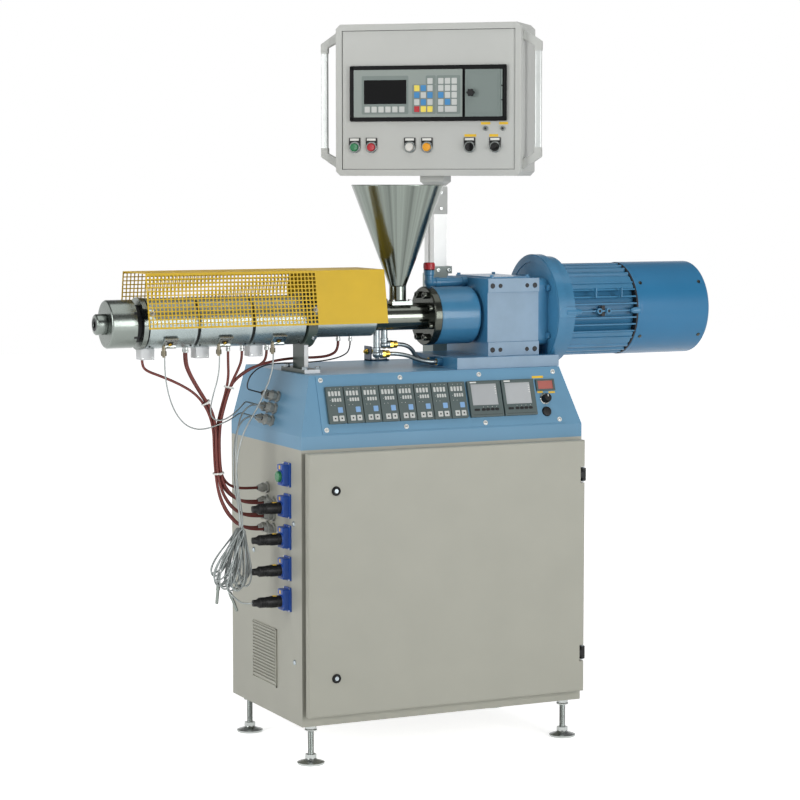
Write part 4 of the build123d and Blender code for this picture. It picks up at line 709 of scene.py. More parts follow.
print("stage 6: left side")
socketRow = {"y": 86.0, "top": 733.0, "pitch": 79.3, "plugDrop": -4.0}
bodies, covers, rings, plugs, marks, discs = (bmesh.new() for _ in range(6))
for i in range(5):
    seat = shifted(leftWall, -socketRow["y"], socketRow["top"] - i * socketRow["pitch"])
    addPad(bodies, seat, (-21, 21), (-31, 31), 5, 4)
    addPad(bodies, seat, (-18, 18), (-27, 27), 20.5, 5, rim=1.2)
    addPlate(covers, seat, (-16.5, 16.5), (13, 26), 2.6, 20.3, 0.8)
    addPlate(covers, seat, (-16.5, 16.5), (-26, -22), 1.8, 20.3, 0.5)
    addPlate(marks, seat, (-5, 4), (15, 24), 0.5, 22.8, 0.15)
    for x, y in ((-17, -28.6), (17, -28.6), (-17, 28.6), (17, 28.6)):
        addTurned(discs, shifted(seat, x, y, 5), [(0, 0), (2.4, 0), (2.2, 1.0), (0, 1.2)], 12)
    plugSeat = shifted(seat, 0, socketRow["plugDrop"])
    addSleeve(rings, plugSeat, 17.4, 15.4, 18, 23, 0.6, 32)
    if i == 0:
        continue
    profile = [(0, 11), (15, 11), (15, 32), (14.2, 33), (14.2, 60)]
    for rib in range(5):
        profile += [(13.4, 61 + 4.4 * rib), (13.4, 63 + 4.4 * rib), (12.2, 64 + 4.4 * rib)]
    profile += [(11, 84), (9, 87), (8.4, 97.5), (4, 98.4), (0, 98.4)]
    addTurned(plugs, plugSeat, profile, 32)
    addRidges(plugs, plugSeat, 30, 14.4, 42, (1.6, 3.2, 16), 0.5)
    addPlate(marks, plugSeat, (-5, 5), (13.6, 15.4), 10, 34, 0.4)
first = shifted(leftWall, -socketRow["y"], socketRow["top"] + socketRow["plugDrop"])
finishPiece("socket_bodies", bodies, "socketBlue", "side_sockets")
finishPiece("socket_covers", covers, "socketBlue")
finishPiece("socket_rings", rings, "socketBlue")
finishPiece("plug_bodies", plugs, "blackMoulded", "heater_plugs")
finishPiece("plug_marks", marks, "stripYellow")
finishPiece("socket_screws", discs, "zinc")
bm = bmesh.new()
addTurned(bm, first, [(0, 10.6), (15.2, 10.6), (15.2, 12.2), (14, 13), (0, 13)], 32)
for x, y in ((-6, -4), (6, -4), (0, 6)):
    addTurned(bm, shifted(first, x, y), [(0, 13), (2.6, 13), (2.6, 15.5), (1.6, 16), (0, 16)], 14)
addDrum(bm, first, 13.5, 15.8, 31, 1.4, 36)
finishPiece("open_socket_insert", bm, "capGreen")

# cable glands: hexagon base, ribbed cap nut and a domed seal, on the side wall and on the hood's slope
glandBm, sealBm = bmesh.new(), bmesh.new()
sideGland = {"near": 178.0, "far": 219.0, "top": 686.0, "pitch": 34.0}
heights = [sideGland["top"] - sideGland["pitch"] * i for i in range(4)]
glandSeats = [shifted(leftWall, -sideGland["far"], z) for z in heights]
glandSeats += [shifted(leftWall, -sideGland["near"], z) for z in heights[1:]]
glandSeats += [hoodGlandSeat(column, row) for column in range(2) for row in range(hoodGland["rows"])]
for seat in glandSeats:
    addHex(glandBm, seat, 26, 0, 6, 0.8)
    addTurned(glandBm, seat, [(0, 6), (9.8, 6), (9.8, 10), (0, 10)], 28)
    addHex(glandBm, seat, 22, 9.5, 20, 0.9)
    addTurned(glandBm, seat, [(0, 19), (9.6, 19), (9.6, 21), (8.6, 25), (7.2, 28.6), (6.2, 29.6),
        (0, 29.6)], 28)
    addSleeve(sealBm, seat, 5.6, 2.0, 28, 30.2, 0.5, 20)
finishPiece("gland_bodies", glandBm, "nylonGrey", "cable_glands")
finishPiece("gland_seals", sealBm, "gasket")

# louvred vent: a thin frame and slats that lean over one another
bm = bmesh.new()
vent = shifted(leftWall, -242.0, 249.0)
addPlate(bm, vent, (-79.5, 79.5), (-75.5, 75.5), 1.2, 0.0, 0.4)
for x, y, wide, high in ((-78, 0, 4, 152), (78, 0, 4, 152), (0, -73.5, 160, 5), (0, 74.5, 160, 3)):
    addBlock(bm, shifted(vent, x, y, 1.8), (wide, high, 3.6), 0.8)
for i in range(17):
    lean = shifted(vent, 0, -65 + 8.2 * i, 2.6) @ Matrix.Rotation(radians(24), 4, "X")
    addBlock(bm, lean, (153, 9.6, 1.2), 0.4)
finishPiece("vent_louvres", bm, "cabinetPaint", "side_vent")

print("stage 7: hood and instruments")
dressNode("sheetBlue", "hood", "instrument_plate")
bm = bmesh.new()
washers = bmesh.new()
for x in (70.0, 291.0, 517.0, 735.0):
    for y in (14.0, 142.0):
        seat = shifted(slopePlate, x, y)
        addSleeve(washers, seat, 6.4, 3.0, 0, 1.3, 0.4, 24)
        addTurned(bm, seat, [(0, 1.2), (4.0, 1.2), (3.6, 2.6), (2.0, 3.2), (0.9, 2.2), (0, 2.2)], 16)
finishPiece("plate_screws", bm, "zinc")
finishPiece("plate_washers", washers, "nylonWhite")

# temperature controllers: case, two rows of blank figures, a pale blue key and two white keys
controller = {"left": 77.3, "bottom": 28.0, "pitch": 49.0}
cases, figures, keys, blueKeys, dots = (bmesh.new() for _ in range(5))
for i in range(8):
    seat = shifted(slopePlate, controller["left"] + i * controller["pitch"], controller["bottom"])
    addPad(cases, seat, (0.4, 47.6), (0.4, 95.6), 8.2, 2.0, rim=0.8)
    for column in range(4):
        addPad(figures, seat, (5.5 + 9 * column, 11.5 + 9 * column), (71, 83), 0.4, 0.8, 8.1, 0.1)
        addPad(figures, seat, (13.5 + 7 * column, 18.3 + 7 * column), (56, 65), 0.4, 0.8, 8.1, 0.1)
    for x, y in ((9, 60), (10, 47), (20, 47), (13, 89), (27, 89), (38, 89)):
        addTurned(figures, shifted(seat, x, y, 8.1), [(0, 0), (1.0, 0), (0.8, 0.5), (0, 0.6)], 10)
    addPad(blueKeys, seat, (27, 40), (27.5, 41.5), 1.2, 1.4, 8.1, 0.3)
    for x in (10.5, 28.5):
        addPad(keys, seat, (x, x + 13), (6, 20), 1.2, 1.4, 8.1, 0.3)
        addPlate(dots, seat, (x + 4.5, x + 8.5), (11, 15), 0.4, 9.2, 0.1)
finishPiece("controller_cases", cases, "slateMoulded", "temperature_controllers")
finishPiece("controller_figures", figures, "keyGrey")
finishPiece("controller_keys", keys, "keyGrey")
finishPiece("controller_blue_keys", blueKeys, "keySky")
finishPiece("controller_key_dots", dots, "blackMoulded")

# two square displays with a grey window and a row of dark oval keys, a red meter and a blank plug
display = {"left": 475.0, "bottom": 28.0, "pitch": 98.5}
cases, windows, keys, red, strips, plugBm = (bmesh.new() for _ in range(6))
for i in range(2):
    seat = shifted(slopePlate, display["left"] + i * display["pitch"], display["bottom"])
    addPlates(cases, seat, ((0.4, 95.6, 87, 95.6), (0.4, 95.6, 0.4, 31), (0.4, 9.6, 30, 88),
        (83.6, 95.6, 30, 88)), 9, 0, 1.0)
    addPlate(cases, seat, (5, 91), (5, 91), 6.4, 0)
    addPlate(windows, seat, (9.2, 84), (30.6, 87.4), 0.8, 6.3, 0.2)
    addPad(keys, seat, (11, 27), (16, 22), 1.0, 2.8, 8.9, 0.3)
    for k in range(4):
        addPad(keys, seat, (32 + 13 * k, 43 + 13 * k), (15.5, 22.5), 1.4, 3.2, 8.9, 0.4)
        addTurned(strips, shifted(seat, 37.5 + 13 * k, 26, 8.9), [(0, 0), (0.9, 0), (0.7, 0.4), (0, 0.5)],
            10)
        addPlate(strips, seat, (78, 82), (60 + 6 * k, 62 + 6 * k), 0.3, 7.0, 0.1)
    addPlate(strips, seat, (8, 26), (89.5, 93), 0.5, 8.9, 0.15)
    addPlate(keys, seat, (6, 90), (5.5, 6.3), 0.4, 8.8, 0.15)
meter = shifted(slopePlate, 706.0, 107.0)
addPlates(cases, meter, ((-27.5, 27.5, 11, 15.5), (-27.5, 27.5, -15.5, -11), (-27.5, -22, -12, 12),
    (22, 27.5, -12, 12)), 4.5, 0, 0.8)
addPlate(red, meter, (-22.5, 22.5), (-11.5, 11.5), 2.4, 0, 0.3)
addTurned(plugBm, shifted(slopePlate, 700.0, 36.0), [(0, 0), (13, 0), (13, 2.5), (11.5, 4.6), (8, 5),
    (0, 5)], 36)
finishPiece("display_cases", cases, "slateMoulded", "panel_displays")
finishPiece("display_windows", windows, "screenGrey")
finishPiece("display_keys", keys, "blackMoulded")
finishPiece("display_strips", strips, "nylonWhite")
finishPiece("meter_window", red, "screenRed")
finishPiece("blank_plug", plugBm, "blackMoulded")

# plain yellow strips where the front has its engraved plates
bm = bmesh.new()
addPlates(bm, slopePlate, ((671, 704, 126, 132), (681, 697, 86, 91), (714, 733, 84.5, 89.5)), 0.6, 0, 0.2)
finishPiece("front_strips", bm, "stripYellow")

# speed knob: ribbed cap, pointer and a bright collar
dial = shifted(slopePlate, 701.0, 70.0, 0.3)
collar, cap, pointer = bmesh.new(), bmesh.new(), bmesh.new()
addTurned(collar, dial, [(0, 0), (15, 0), (15, 1.4), (13.6, 3), (0, 3)], 40)
addTurned(cap, dial, [(0, 3), (12, 3), (12, 6), (11, 8), (10.4, 17), (9.4, 19), (0, 19)], 40)
addRidges(cap, dial, 18, 10.9, 12, (1.0, 1.6, 8), 0.3)
addBlock(pointer, shifted(dial, 0, 5.5, 19.1), (1.6, 7, 0.5), 0.15)
finishPiece("speed_knob_collar", collar, "zinc", body="speed_dial")
finishPiece("speed_knob_cap", cap, "blackMoulded", "speed_knob", "speed_dial")
finishPiece("speed_knob_pointer", pointer, "nylonWhite", body="speed_dial")

print("stage 8: barrel line")
# nozzle, die head and barrel are turned about the screw's line
turnedPiece("nozzle_turned", "turnedSteel", alongScrew, [(9, -425), (9, -474), (10, -475), (20, -475),
    (24, -473.6), (26, -471), (26, -449), (24, -448), (9, -448)], 64, "nozzle")
turnedPiece("die_head_turned", "turnedSteel", alongScrew, [(9, -398), (9, -448), (55, -448), (58, -447),
    (60, -444), (60, -382), (59, -381), (0, -381), (0, -398), (9, -398)], 72, "die_head")
dressNode("turnedSteel", "barrel")

# heater bands: sheet rings with rolled rims, a clamping gap below and screws at each end
band = {"spans": ((-351.5, -225.5), (-218.5, -79.5), (-72.5, 66.5)), "radius": 64.0, "inner": 45.3}
stations = (-351.5, -206.0, -60.5)  # where the terminal boxes begin
rings, gaps, screws, sleeves = (bmesh.new() for _ in range(4))
r = band["radius"]
for x0, x1 in band["spans"]:
    addTurned(rings, alongScrew, [(band["inner"], x0), (r - 1.4, x0), (r - 0.2, x0 + 0.8),
        (r - 0.2, x0 + 4), (r - 0.9, x0 + 5), (r - 0.9, x1 - 5), (r - 0.2, x1 - 4), (r - 0.2, x1 - 0.8),
        (r - 1.4, x1), (band["inner"], x1), (band["inner"], x0)], 96)
    for turn in (-118.0, 62.0):
        for x in (x0 + 9, x1 - 9):
            addTurned(screws, roundSeat(x, axisZ, r, turn), [(0, -1), (2.6, -1), (2.6, 0.6), (1.6, 1.4),
                (0, 1.5)], 14)
# painted shade: dark rings in the gaps between the bands and behind the die head
for x0, x1 in ((-225.2, -218.8), (-79.2, -72.8), (66.8, 69.7)):
    addSleeve(gaps, alongScrew, 58.0, band["inner"], x0, x1, 0.5, 64)
addSleeve(gaps, alongScrew, 46.2, 45.05, -380.8, -367.2, 0.2, 64)
addSleeve(gaps, alongScrew, 16.0, 9.2, -475.3, -474.6, 0.1, 48)  # painted shade round the outlet, for its countersunk recess
for turn in (-148.0, 152.0):  # painted shade for slots in the die head's rear edge
    addBlock(gaps, roundSeat(-385.5, axisZ, 59.6, turn), (9, 7, 1.2), 0.3)
for x, dy in ((-236, -6.6), (-236, 6.6), (-121, 0), (-86, -6.6), (-16, 0)):
    lead = topSeat(x, 185 + dy, 1042)
    addTurned(sleeves, lead, [(3.4, 0), (5.6, 0), (6, 0.6), (6, 6), (5, 7), (5, 13.5), (0, 13.5)], 24)
for x, y, radius in ((190, 200, 6.0), (215, 180, 5.0)):
    lead = topSeat(x, y, 1058.5)
    addTurned(sleeves, lead, [(2, 0), (radius - 0.4, 0), (radius, 0.6), (radius, 7), (radius - 1, 8),
        (radius - 1, 15), (0, 15)], 24)
finishPiece("heater_band_rings", rings, "bandSheet", "heater_bands")
finishPiece("barrel_gap_shade", gaps, "paintedShadeDark")
finishPiece("band_screws", screws, "paintedShadeDark")
finishPiece("lead_sleeves", sleeves, "zinc")

# terminal boxes under the bands, with a lid line and two screws
boxes, lidScrews = bmesh.new(), bmesh.new()
for x0 in stations:
    lowSeat = frontSeat(x0, 180.2, 1030)
    addPrism(boxes, lowSeat, [(-3.7, -3.7), (32.7, -3.7), (32.7, 25.5), (-3.7, 25.5)], -36.6, -0.3, 0.9)
    addPlate(boxes, lowSeat, (-2.4, 31.4), (-2.4, 22), 0.8, -0.4, 0.3)
    for x in (2, 27):
        addCrossScrew(lidScrews, shifted(lowSeat, x, 1.5, 0.4), 2.0, 1.2)
finishPiece("terminal_box_shells", boxes, "boxGrey", "terminal_boxes")
finishPiece("terminal_box_screws", lidScrews, "zinc")

# sensor clamps: a bright plate on each band with a brass nut, and a stub for the lead
plates, nuts, spots, stubs = (bmesh.new() for _ in range(4))
clampTurn = 225.0  # degrees from the rear: forward and down
for x0 in stations:
    x = x0 + 57
    seat = roundSeat(x, axisZ, 64.3, clampTurn)
    addPad(plates, seat, (-18, 18), (-17, 17), 3.2, 2.0, 0.2)
    addPlate(plates, seat, (-18, 18), (13.5, 17), 7.0, 0.2, 0.6)
    addPlate(plates, seat, (-18, 18), (-17, -12.5), 6.4, 0.2, 0.6)
    # painted shade: a dark patch round the nut and dark dots for the plate's holes
    addPlate(spots, seat, (-8, 8), (-8, 4), 0.5, 3.1, 0.2)
    addHex(nuts, shifted(seat, 0, -4, 3.2), 9, 0, 3.4, 0.5)
    addTurned(nuts, shifted(seat, 0, -4), [(0, 3), (3, 3), (3, 6.8), (2.2, 7.2), (0, 7.2)], 16)
    for dx, dy in ((-12, 8), (12, 8), (0, 9)):
        addTurned(spots, shifted(seat, dx, dy, 3.3), [(0, 0), (1.9, 0), (1.7, 0.4), (0, 0.4)], 12)
    stub = topSeat(x - 15, 139.0, 1034.4)
    addTurned(stubs, stub, [(1.9, 0), (3.6, 0), (4, 0.8), (4, 9), (5, 10), (5, 22), (4, 23), (4, 29),
        (0, 29)], 24)
    addHex(stubs, stub, 13, 4, 16, 0.6)
finishPiece("sensor_clamp_plates", plates, "zinc", "sensor_clamps")
finishPiece("sensor_clamp_stubs", stubs, "stubSteel")
finishPiece("sensor_clamp_nuts", nuts, "brass")
finishPiece("sensor_clamp_hole_shade", spots, "paintedShadeDark")

# barrel support: saddle, upright and foot in one enamelled casting, with its bolts
dressNode("supportGrey", "barrel_support")
bm = bmesh.new()
for x in (58.5, 93.5):
    for y in (112.0, 228.0):
        seat = topSeat(x, y, 994.0)
        addTurned(bm, seat, [(0, 0), (8.5, 0), (8.5, 1.4), (0, 1.4)], 24)
        addHex(bm, seat, 13, 1.4, 7.4, 0.7)
# painted highlight: pale strips on the lit front edges of the upright and the foot
pale = bmesh.new()
addPlate(pale, frontSeat(0, 144.0, 0), (70.5, 81.5), (994.4, 1054), 0.4, 0, 0.15)
addPlate(pale, frontSeat(0, 105.0, 0), (54.5, 97.5), (984.5, 993.6), 0.4, 0, 0.15)
finishPiece("support_lit_edges", pale, "boxGrey")
clampBolt = seatAt((88.5, 126.0, 1076.0), (1, 0, 0), (0.5, -0.75, -0.45))
addHex(bm, clampBolt, 13, -2, 7, 0.7)
addTurned(bm, clampBolt, [(0, -4), (9, -4), (9, -2), (0, -2)], 24)
guardScrews = bmesh.new()
for out in (-1, 1):
    for x in (-360.0, 74.0):
        seat = seatAt((x, 180 + out * 102.3, 1147.0), (1, 0, 0), (0, out, 0.18))
        addTurned(guardScrews, seat, [(0, 0), (6, 0), (6, 1.2), (4.4, 1.2), (4.2, 2.4), (2.8, 3.6),
            (0, 4.0)], 20)
finishPiece("support_bolts", bm, "galvanised")
finishPiece("guard_screws", guardScrews, "stubSteel")

# jacket behind the saddle, feed section and the hopper's seat
turnedPiece("jacket_turned", "bandSheet", alongScrew, [(45.3, 98.5), (46.6, 98.5), (47.5, 99.5),
    (47.5, 270), (44.5, 273), (40, 273), (40, 266), (45.3, 266), (45.3, 98.5)], 72, "barrel_jacket")
dressNode("feedSteel", "feed_section")

# hopper: cone and neck of rolled sheet with a hemmed rim, on a machined plate
hopperSeat = topSeat(*hopperAxis, 0)
turnedPiece("hopper_cone", "rolledSteel", hopperSeat, [(20.5, 1159.2), (22, 1159.2), (23.4, 1161),
    (22, 1163), (22, 1197), (22.8, 1198), (22.3, 1199.4), (118.8, 1455.5), (119.8, 1457), (119.8, 1459),
    (118.6, 1459.8), (117.4, 1459), (117.2, 1456), (20.6, 1198.5), (20.5, 1197), (20.5, 1159.2)], 96,
    "hopper")
bm = bmesh.new()
addPlates(bm, shifted(hopperSeat, z=1149), ((-29, 29, 20.6, 29), (-29, 29, -29, -20.6),
    (-29, -20.6, -20.6, 20.6), (20.6, 29, -20.6, 20.6)), 10, 0.05, 0.6)
finishPiece("hopper_plate", bm, "turnedSteel")
bm = bmesh.new()
for x in (-23, 23):
    for y in (-23, 23):
        addScrewHead(bm, shifted(hopperSeat, x, y, 1159), 4.5, 5.0)
finishPiece("hopper_screws", bm, "zinc")

# bolted flange: a black disc with a chamfer, and a ring of cap screws on its left face
turnedPiece("flange_disc", "blackOxide", alongScrew, [(0, 424), (74.5, 424), (77, 426.5), (77, 443.5),
    (75.5, 445), (0, 445)], 96, "barrel_flange")
heads, sockets = bmesh.new(), bmesh.new()
for i in range(8):
    turn = radians(22.5 + 45 * i)
    seat = seatAt((424.0, axisY + 59 * cos(turn), axisZ + 59 * sin(turn)), (0, 1, 0), (-1, 0, 0))
    addScrewHead(heads, seat, 9.0, 11.0)
    # painted shade in the screws' sockets
    addHex(sockets, seat, 8.4, 5.0, 6.0, 0)
finishPiece("flange_screws", heads, "blackOxide")
finishPiece("flange_socket_shade", sockets, "paintedShadeDark")

# guard: powder coated sheets
dressNode("guardYellow", "guard_mesh_front", "guard_mesh_rear", "guard_mesh_top", "guard_plate")

print("stage 9: gearbox and motor")
# bearing lantern: a smooth round casting with an eased shoulder
shoulder = arc(67, 552, 8, 0, 90)
turnedPiece("lantern_casting", "castBlue", alongScrew,
    [(0, 445.2), (73.8, 445.2), (75, 446.4)] + shoulder + [(52, 560), (52, 567), (0, 567)], 96,
    "bearing_lantern")

# gearbox: front faces with a painted highlight in a paler blue, machined bands with two bolt holes near
# each end, a lid with screws, and the adapter's bolts
dressNode("castBlue", "gearbox", "gearbox_base", "motor_flange", "motor_body")
gear = {"left": 567.0, "right": 718.0, "front": 85.0, "back": 325.0, "rows": (1030.0, 1197.0)}
# painted highlight: thin plates in a paler blue on the lit front faces of the gearbox and its base
fronts = bmesh.new()
front, wide = gear["front"], (gear["left"] + 0.3, gear["right"] - 0.3)
for y, x, z in ((front, wide, (1014.3, 1049.8)), (front, wide, (1180.2, 1215.7)),
                (front + 4, wide, (1050.4, 1179.6)), (60.0, (464.4, 763.6), (984.4, 1013.6))):
    addPlate(fronts, frontSeat(0, y, 0), x, z, 0.4, 0, 0.15)
finishPiece("gearbox_lit_fronts", fronts, "gearLitBlue")
holes, lidScrews = bmesh.new(), bmesh.new()
# painted shade: dark shallow dishes for the bolt holes
for z in gear["rows"]:
    for x, radius in ((gear["left"] + 13, 6.4), (gear["left"] + 36, 5.2), (gear["right"] - 36, 5.2),
            (gear["right"] - 13, 6.4)):
        for y, out in ((gear["front"] - 0.4, -1), (gear["back"], 1)):
            seat = seatAt((x, y, z), (1, 0, 0), (0, out, 0))
            addTurned(holes, seat, [(0, 0.15), (radius - 0.5, 0.15), (radius, 0.5), (radius + 0.5, 0.4),
                (radius + 0.6, 0)], 28)
for x in (590.0, 695.0):
    for y in (110.0, 300.0):
        addScrewHead(lidScrews, topSeat(x, y, 1220.0), 5.0, 4.5)
finishPiece("gearbox_bolt_hole_shade", holes, "paintedShadeDark")
for y in (130.0, 230.0):
    for z in (1063.0, 1189.0):
        seat = seatAt((749.0, y + (y - 180) * 0.9, z), (0, 1, 0), (-1, 0, 0))
        addHex(lidScrews, seat, 16, 0, 8, 0.9)
finishPiece("gearbox_screws", lidScrews, "castBlue")
rims = bmesh.new()
addSleeve(rims, alongMotor, 146.6, 128.0, 747.4, 749.4, 0.6, 96)
finishPiece("motor_flange_rim", rims, "castBlue")

# motor: lug on the flange's near rim, eye bosses at mid height, flat pads over the fins, and a dark
# joint at the cover
bm = bmesh.new()
nearSide = frontSeat(0, 36.0, motorZ)
addPad(bm, nearSide, (752, 800), (-14, 14), 5.0, 4.0, 0.0, 1.2)
addDrum(bm, rightSeat(771, 38.0, motorZ), 9.5, 0, 36, 1.5, 28)
addTurned(bm, rightSeat(806, 52.0, motorZ), [(0, 0), (8, 0), (8, 16), (5, 22), (0, 22)], 24)
addTurned(bm, rightSeat(980, 54.0, motorZ), [(0, 0), (4, 0), (8, 8), (9, 24), (0, 24)], 24)
eyes = [frontSeat(x, 57.0, motorZ) for x in (884.0, 912.0)]
for seat in eyes:
    addSleeve(bm, seat, 8.0, 4.0, 0, 4.6, 0.8, 28)
    addBlock(bm, shifted(seat, 0, 0, -6), (16, 12, 12), 1.0)
for turn in (-128.0, -52.0, 52.0, 128.0):
    addPad(bm, roundSeat(902.0, motorZ, 112, turn - 90), (-98, 98), (-20, 20), 11.0, 6.0, -2.0, 2.0)
for x in (868.0, 946.0):
    addPlate(bm, nearSide, (x, x + 3), (36, 62), 12, -22.0, 0.6)
finishPiece("motor_details", bm, "castBlue")
# the cover's dark joint, and painted shade in the eye holes and in the recess between the eye bosses
bm = bmesh.new()
addSleeve(bm, alongMotor, 123.4, 104.0, 1000.5, 1006, 0.5, 96)
for seat in eyes:
    addDrum(bm, seat, 4.0, 0, 2.0, 0.2, 20)
addPlate(bm, frontSeat(898.0, 66.0, motorZ), (-5, 5), (-14, 14), 6.0)
finishPiece("motor_joint_and_shade", bm, "paintedShadeDark")

# fan cover: a drawn sheet with a rolled front lip, a round shoulder, screws, and behind it rings of slots
# drawn as dark rings of painted shade
cover = {"front": 1005.0, "end": 1230.0, "radius": 124.5, "round": 10.0, "sheet": 2.0}
bm = bmesh.new()
r, front, end = cover["radius"], cover["front"], cover["end"]
middle = (r - cover["round"], end - cover["round"])
corner = arc(*middle, cover["round"], 0, 90)
inner = arc(*middle, cover["round"] - cover["sheet"], 0, 90)[::-1]
lip = [(r - 2.2, front), (r - 0.6, front), (r, front + 1), (r, front + 7), (r - 0.5, front + 8),
    (r - 0.5, front + 11), (r, front + 12)]
addTurned(bm, alongMotor, lip + corner + [(0, end), (0, end - cover["sheet"])] + inner + lip[:1], 112)
finishPiece("fan_cover_sheet", bm, "coverBlue", "fan_cover")
slots, screws = bmesh.new(), bmesh.new()
# painted shade: dark rings that stand for the slots
for radius in range(28, 112, 12):
    addSleeve(slots, alongMotor, radius + 5, radius, end - 0.4, end + 0.3, 0.1, 64)
for turn in range(0, 360, 45):
    spoke = shifted(alongMotor, 0, 0, end + 0.5, turn)
    addPlate(screws, spoke, (20, 112), (-4, 4), 1.0, -0.3, 0.3)
finishPiece("fan_cover_slot_shade", slots, "paintedShadeDark")
finishPiece("fan_cover_spokes", screws, "coverBlue")
screws = bmesh.new()
for x in (1022.0, 1206.0):
    for turn in (35.0, 145.0, 215.0, 325.0):
        addTurned(screws, roundSeat(x, motorZ, r - 0.4, turn), [(0, 0), (5.2, 0), (4.6, 2.0), (2.4, 2.8),
            (0, 2.8)], 18)
finishPiece("fan_cover_screws", screws, "blackOxide")

# oil filler: blue elbow and pipe, a black ring and a red cap with grip ribs
filler = {"x": 459.0, "y": 214.0, "pipeZ": 1204.0}
bm = bmesh.new()
upright = topSeat(filler["x"], filler["y"], 0)
along = rightSeat(0, filler["y"], filler["pipeZ"])
addTurned(bm, upright, arc(0, filler["pipeZ"], 13.6, -90, 90), 32)
addTurned(bm, upright, [(0, 1204), (12, 1204), (12, 1222), (13.4, 1223.5), (13.4, 1236), (0, 1236)], 32)
addTurned(bm, along, [(0, 459), (12, 459), (12, 474), (13.4, 475.5), (13.4, 486), (12, 487.5), (12, 552),
    (13.8, 553), (13.8, 567), (0, 567)], 32)
finishPiece("oil_filler_pipe", bm, "castBlue", "oil_filler")
turnedPiece("oil_filler_ring", "blackMoulded", upright, [(0, 1235.8), (14.2, 1235.8), (14.6, 1236.5),
    (14.6, 1238), (14, 1238.6), (0, 1238.6)], 32)
bm = bmesh.new()
addTurned(bm, upright, [(0, 1238.4), (14.6, 1238.4), (14.8, 1239.4), (14.8, 1253.5), (13.2, 1256),
    (0, 1256)], 36)
addRidges(bm, upright, 30, 14.7, 1246.5, (1.4, 3.0, 12), 0.5)
finishPiece("oil_filler_cap", bm, "capRed")

# cooling water: galvanised nipples and elbows, brass couplings, and a navy bracket with a brass valve
iron, brassBm, bracketBm = (bmesh.new() for _ in range(3))
for x, z in ((290.0, 1022.0), (312.0, 1046.0)):
    upright = topSeat(x, 180.0, 0)
    along = rightSeat(0, 180.0, z)
    addTurned(iron, upright, arc(0, z, 10.8, -90, 90), 28)
    addTurned(iron, upright, [(0, z), (8.6, z), (8.6, z + 10), (10.4, z + 11), (10.4, z + 17),
        (8.6, z + 18), (8.6, 1086), (0, 1086)], 28)
    addTurned(iron, along, [(0, x), (8.8, x), (8.8, x + 10), (10.6, x + 11), (10.6, x + 14), (0, x + 14)],
        28)
    addHex(brassBm, along, 19, x + 14, x + 24, 0.8)
    addTurned(brassBm, along, [(0, x + 24), (8.4, x + 24), (8.4, x + 26), (9.6, x + 27), (9.6, x + 35),
        (8.2, x + 36), (0, x + 36)], 28)
addPlate(bracketBm, topSeat(0, 0, 984.0), (388, 444), (428, 470), 4, 0, 0.8)
addBlock(bracketBm, topSeat(390.0, 449.0, 1004.0), (4, 42, 40), 0.8)
valve = rightSeat(0, 449.0, 1008.8)
addTurned(brassBm, valve, [(0, 377), (3, 377), (4, 378), (8, 385), (8, 388), (0, 388)], 28)
addHex(brassBm, valve, 17, 392, 400, 0.7)
addTurned(brassBm, valve, [(0, 400), (7, 400), (7, 410), (8.6, 411), (8.6, 417.5), (7.4, 418.6),
    (0, 418.6)], 28)
addBlock(iron, seatAt((414.0, 441.5, 1018.6), (1, 0, -0.35), (0, -0.2, 1)), (34, 6, 2.2), 0.6)
for x in (412.0, 436.0):
    addScrewHead(iron, topSeat(x, 436.0, 988.0), 5.0, 5.0)
for y in (150.0, 195.0):
    along = rightSeat(448.0, y, 999.0)
    addHex(brassBm, along, 19, 4, 15.8, 0.8)
    addTurned(brassBm, along, [(5.6, 0), (9, 0), (9.4, 0.6), (9.4, 4), (0, 4)], 28)
finishPiece("water_elbows", iron, "galvanised", "cooling_fittings")
finishPiece("water_couplings", brassBm, "brass")
finishPiece("water_bracket", bracketBm, "bracketNavy")

print("stage 10: column and control panel")
dressNode("collarGrey", "column_foot")
dressNode("anodised", "panel_column")
bm = bmesh.new()
addPrism(bm, topSeat(0, 0, 0), [(566.6, 405.6), (609.4, 405.6), (609.4, 468.4), (566.6, 468.4)], 1379.0,
    1454.8, 1.5)
finishPiece("column_sleeve", bm, "panelGrey")
dressNode("panelGrey", "panel_coupling", "panel_housing")
bm = bmesh.new()
for x in (579.0, 611.0):
    addScrewHead(bm, frontSeat(x, 404.0, 1228.0), 5.5, 5.0)
for z in (1395.0, 1438.0):
    addScrewHead(bm, frontSeat(588.0, 406.0, z), 4.5, 4.5)
finishPiece("column_screws", bm, "zinc")

# thin dark joint round the housing's front plate
bm = bmesh.new()
addPlates(bm, panelFace, ((-240.4, -239.2, 17.2, 389.8), (239.2, 240.4, 17.2, 389.8),
    (-240.4, 240.4, 17.2, 18.4), (-240.4, 240.4, 388.6, 389.8)), 0.5)
finishPiece("panel_joint", bm, "gasket", body="panel")

# grab handles: a drawn rail each, held by corner brackets that lean in
handle = {"root": 257.3, "reach": 307.5, "bar": 20.0, "high": -19.0, "thick": 16.0, "rail": 262.0,
    "tall": 407.0}
inner = handle["reach"] - handle["bar"]
corners = [(handle["root"], 17), (handle["reach"], 51), (handle["reach"], 76), (inner, 76), (inner, 61),
    (handle["root"], 45)]
brackets, rails = bmesh.new(), bmesh.new()
for side in (-1, 1):
    for flip in (0, 1):
        outline = [(side * u, handle["tall"] - v if flip else v) for u, v in corners]
        addPrism(brackets, panelFace, outline, handle["high"] - handle["thick"], handle["high"], 1.6)
    rail = shifted(panelFace, side * (handle["reach"] - handle["bar"] / 2), handle["tall"] / 2,
        handle["high"] - handle["thick"] / 2)
    addBlock(rails, rail, (17.6, handle["rail"], 13.6), 3.0, 3)
    addBlock(rails, shifted(rail, 0, 0, 6.6), (9, handle["rail"], 1.0), 0.3)
finishPiece("handle_brackets", brackets, "panelGrey", body="panel")
finishPiece("handle_rails", rails, "railGrey", "panel_handles", "panel")

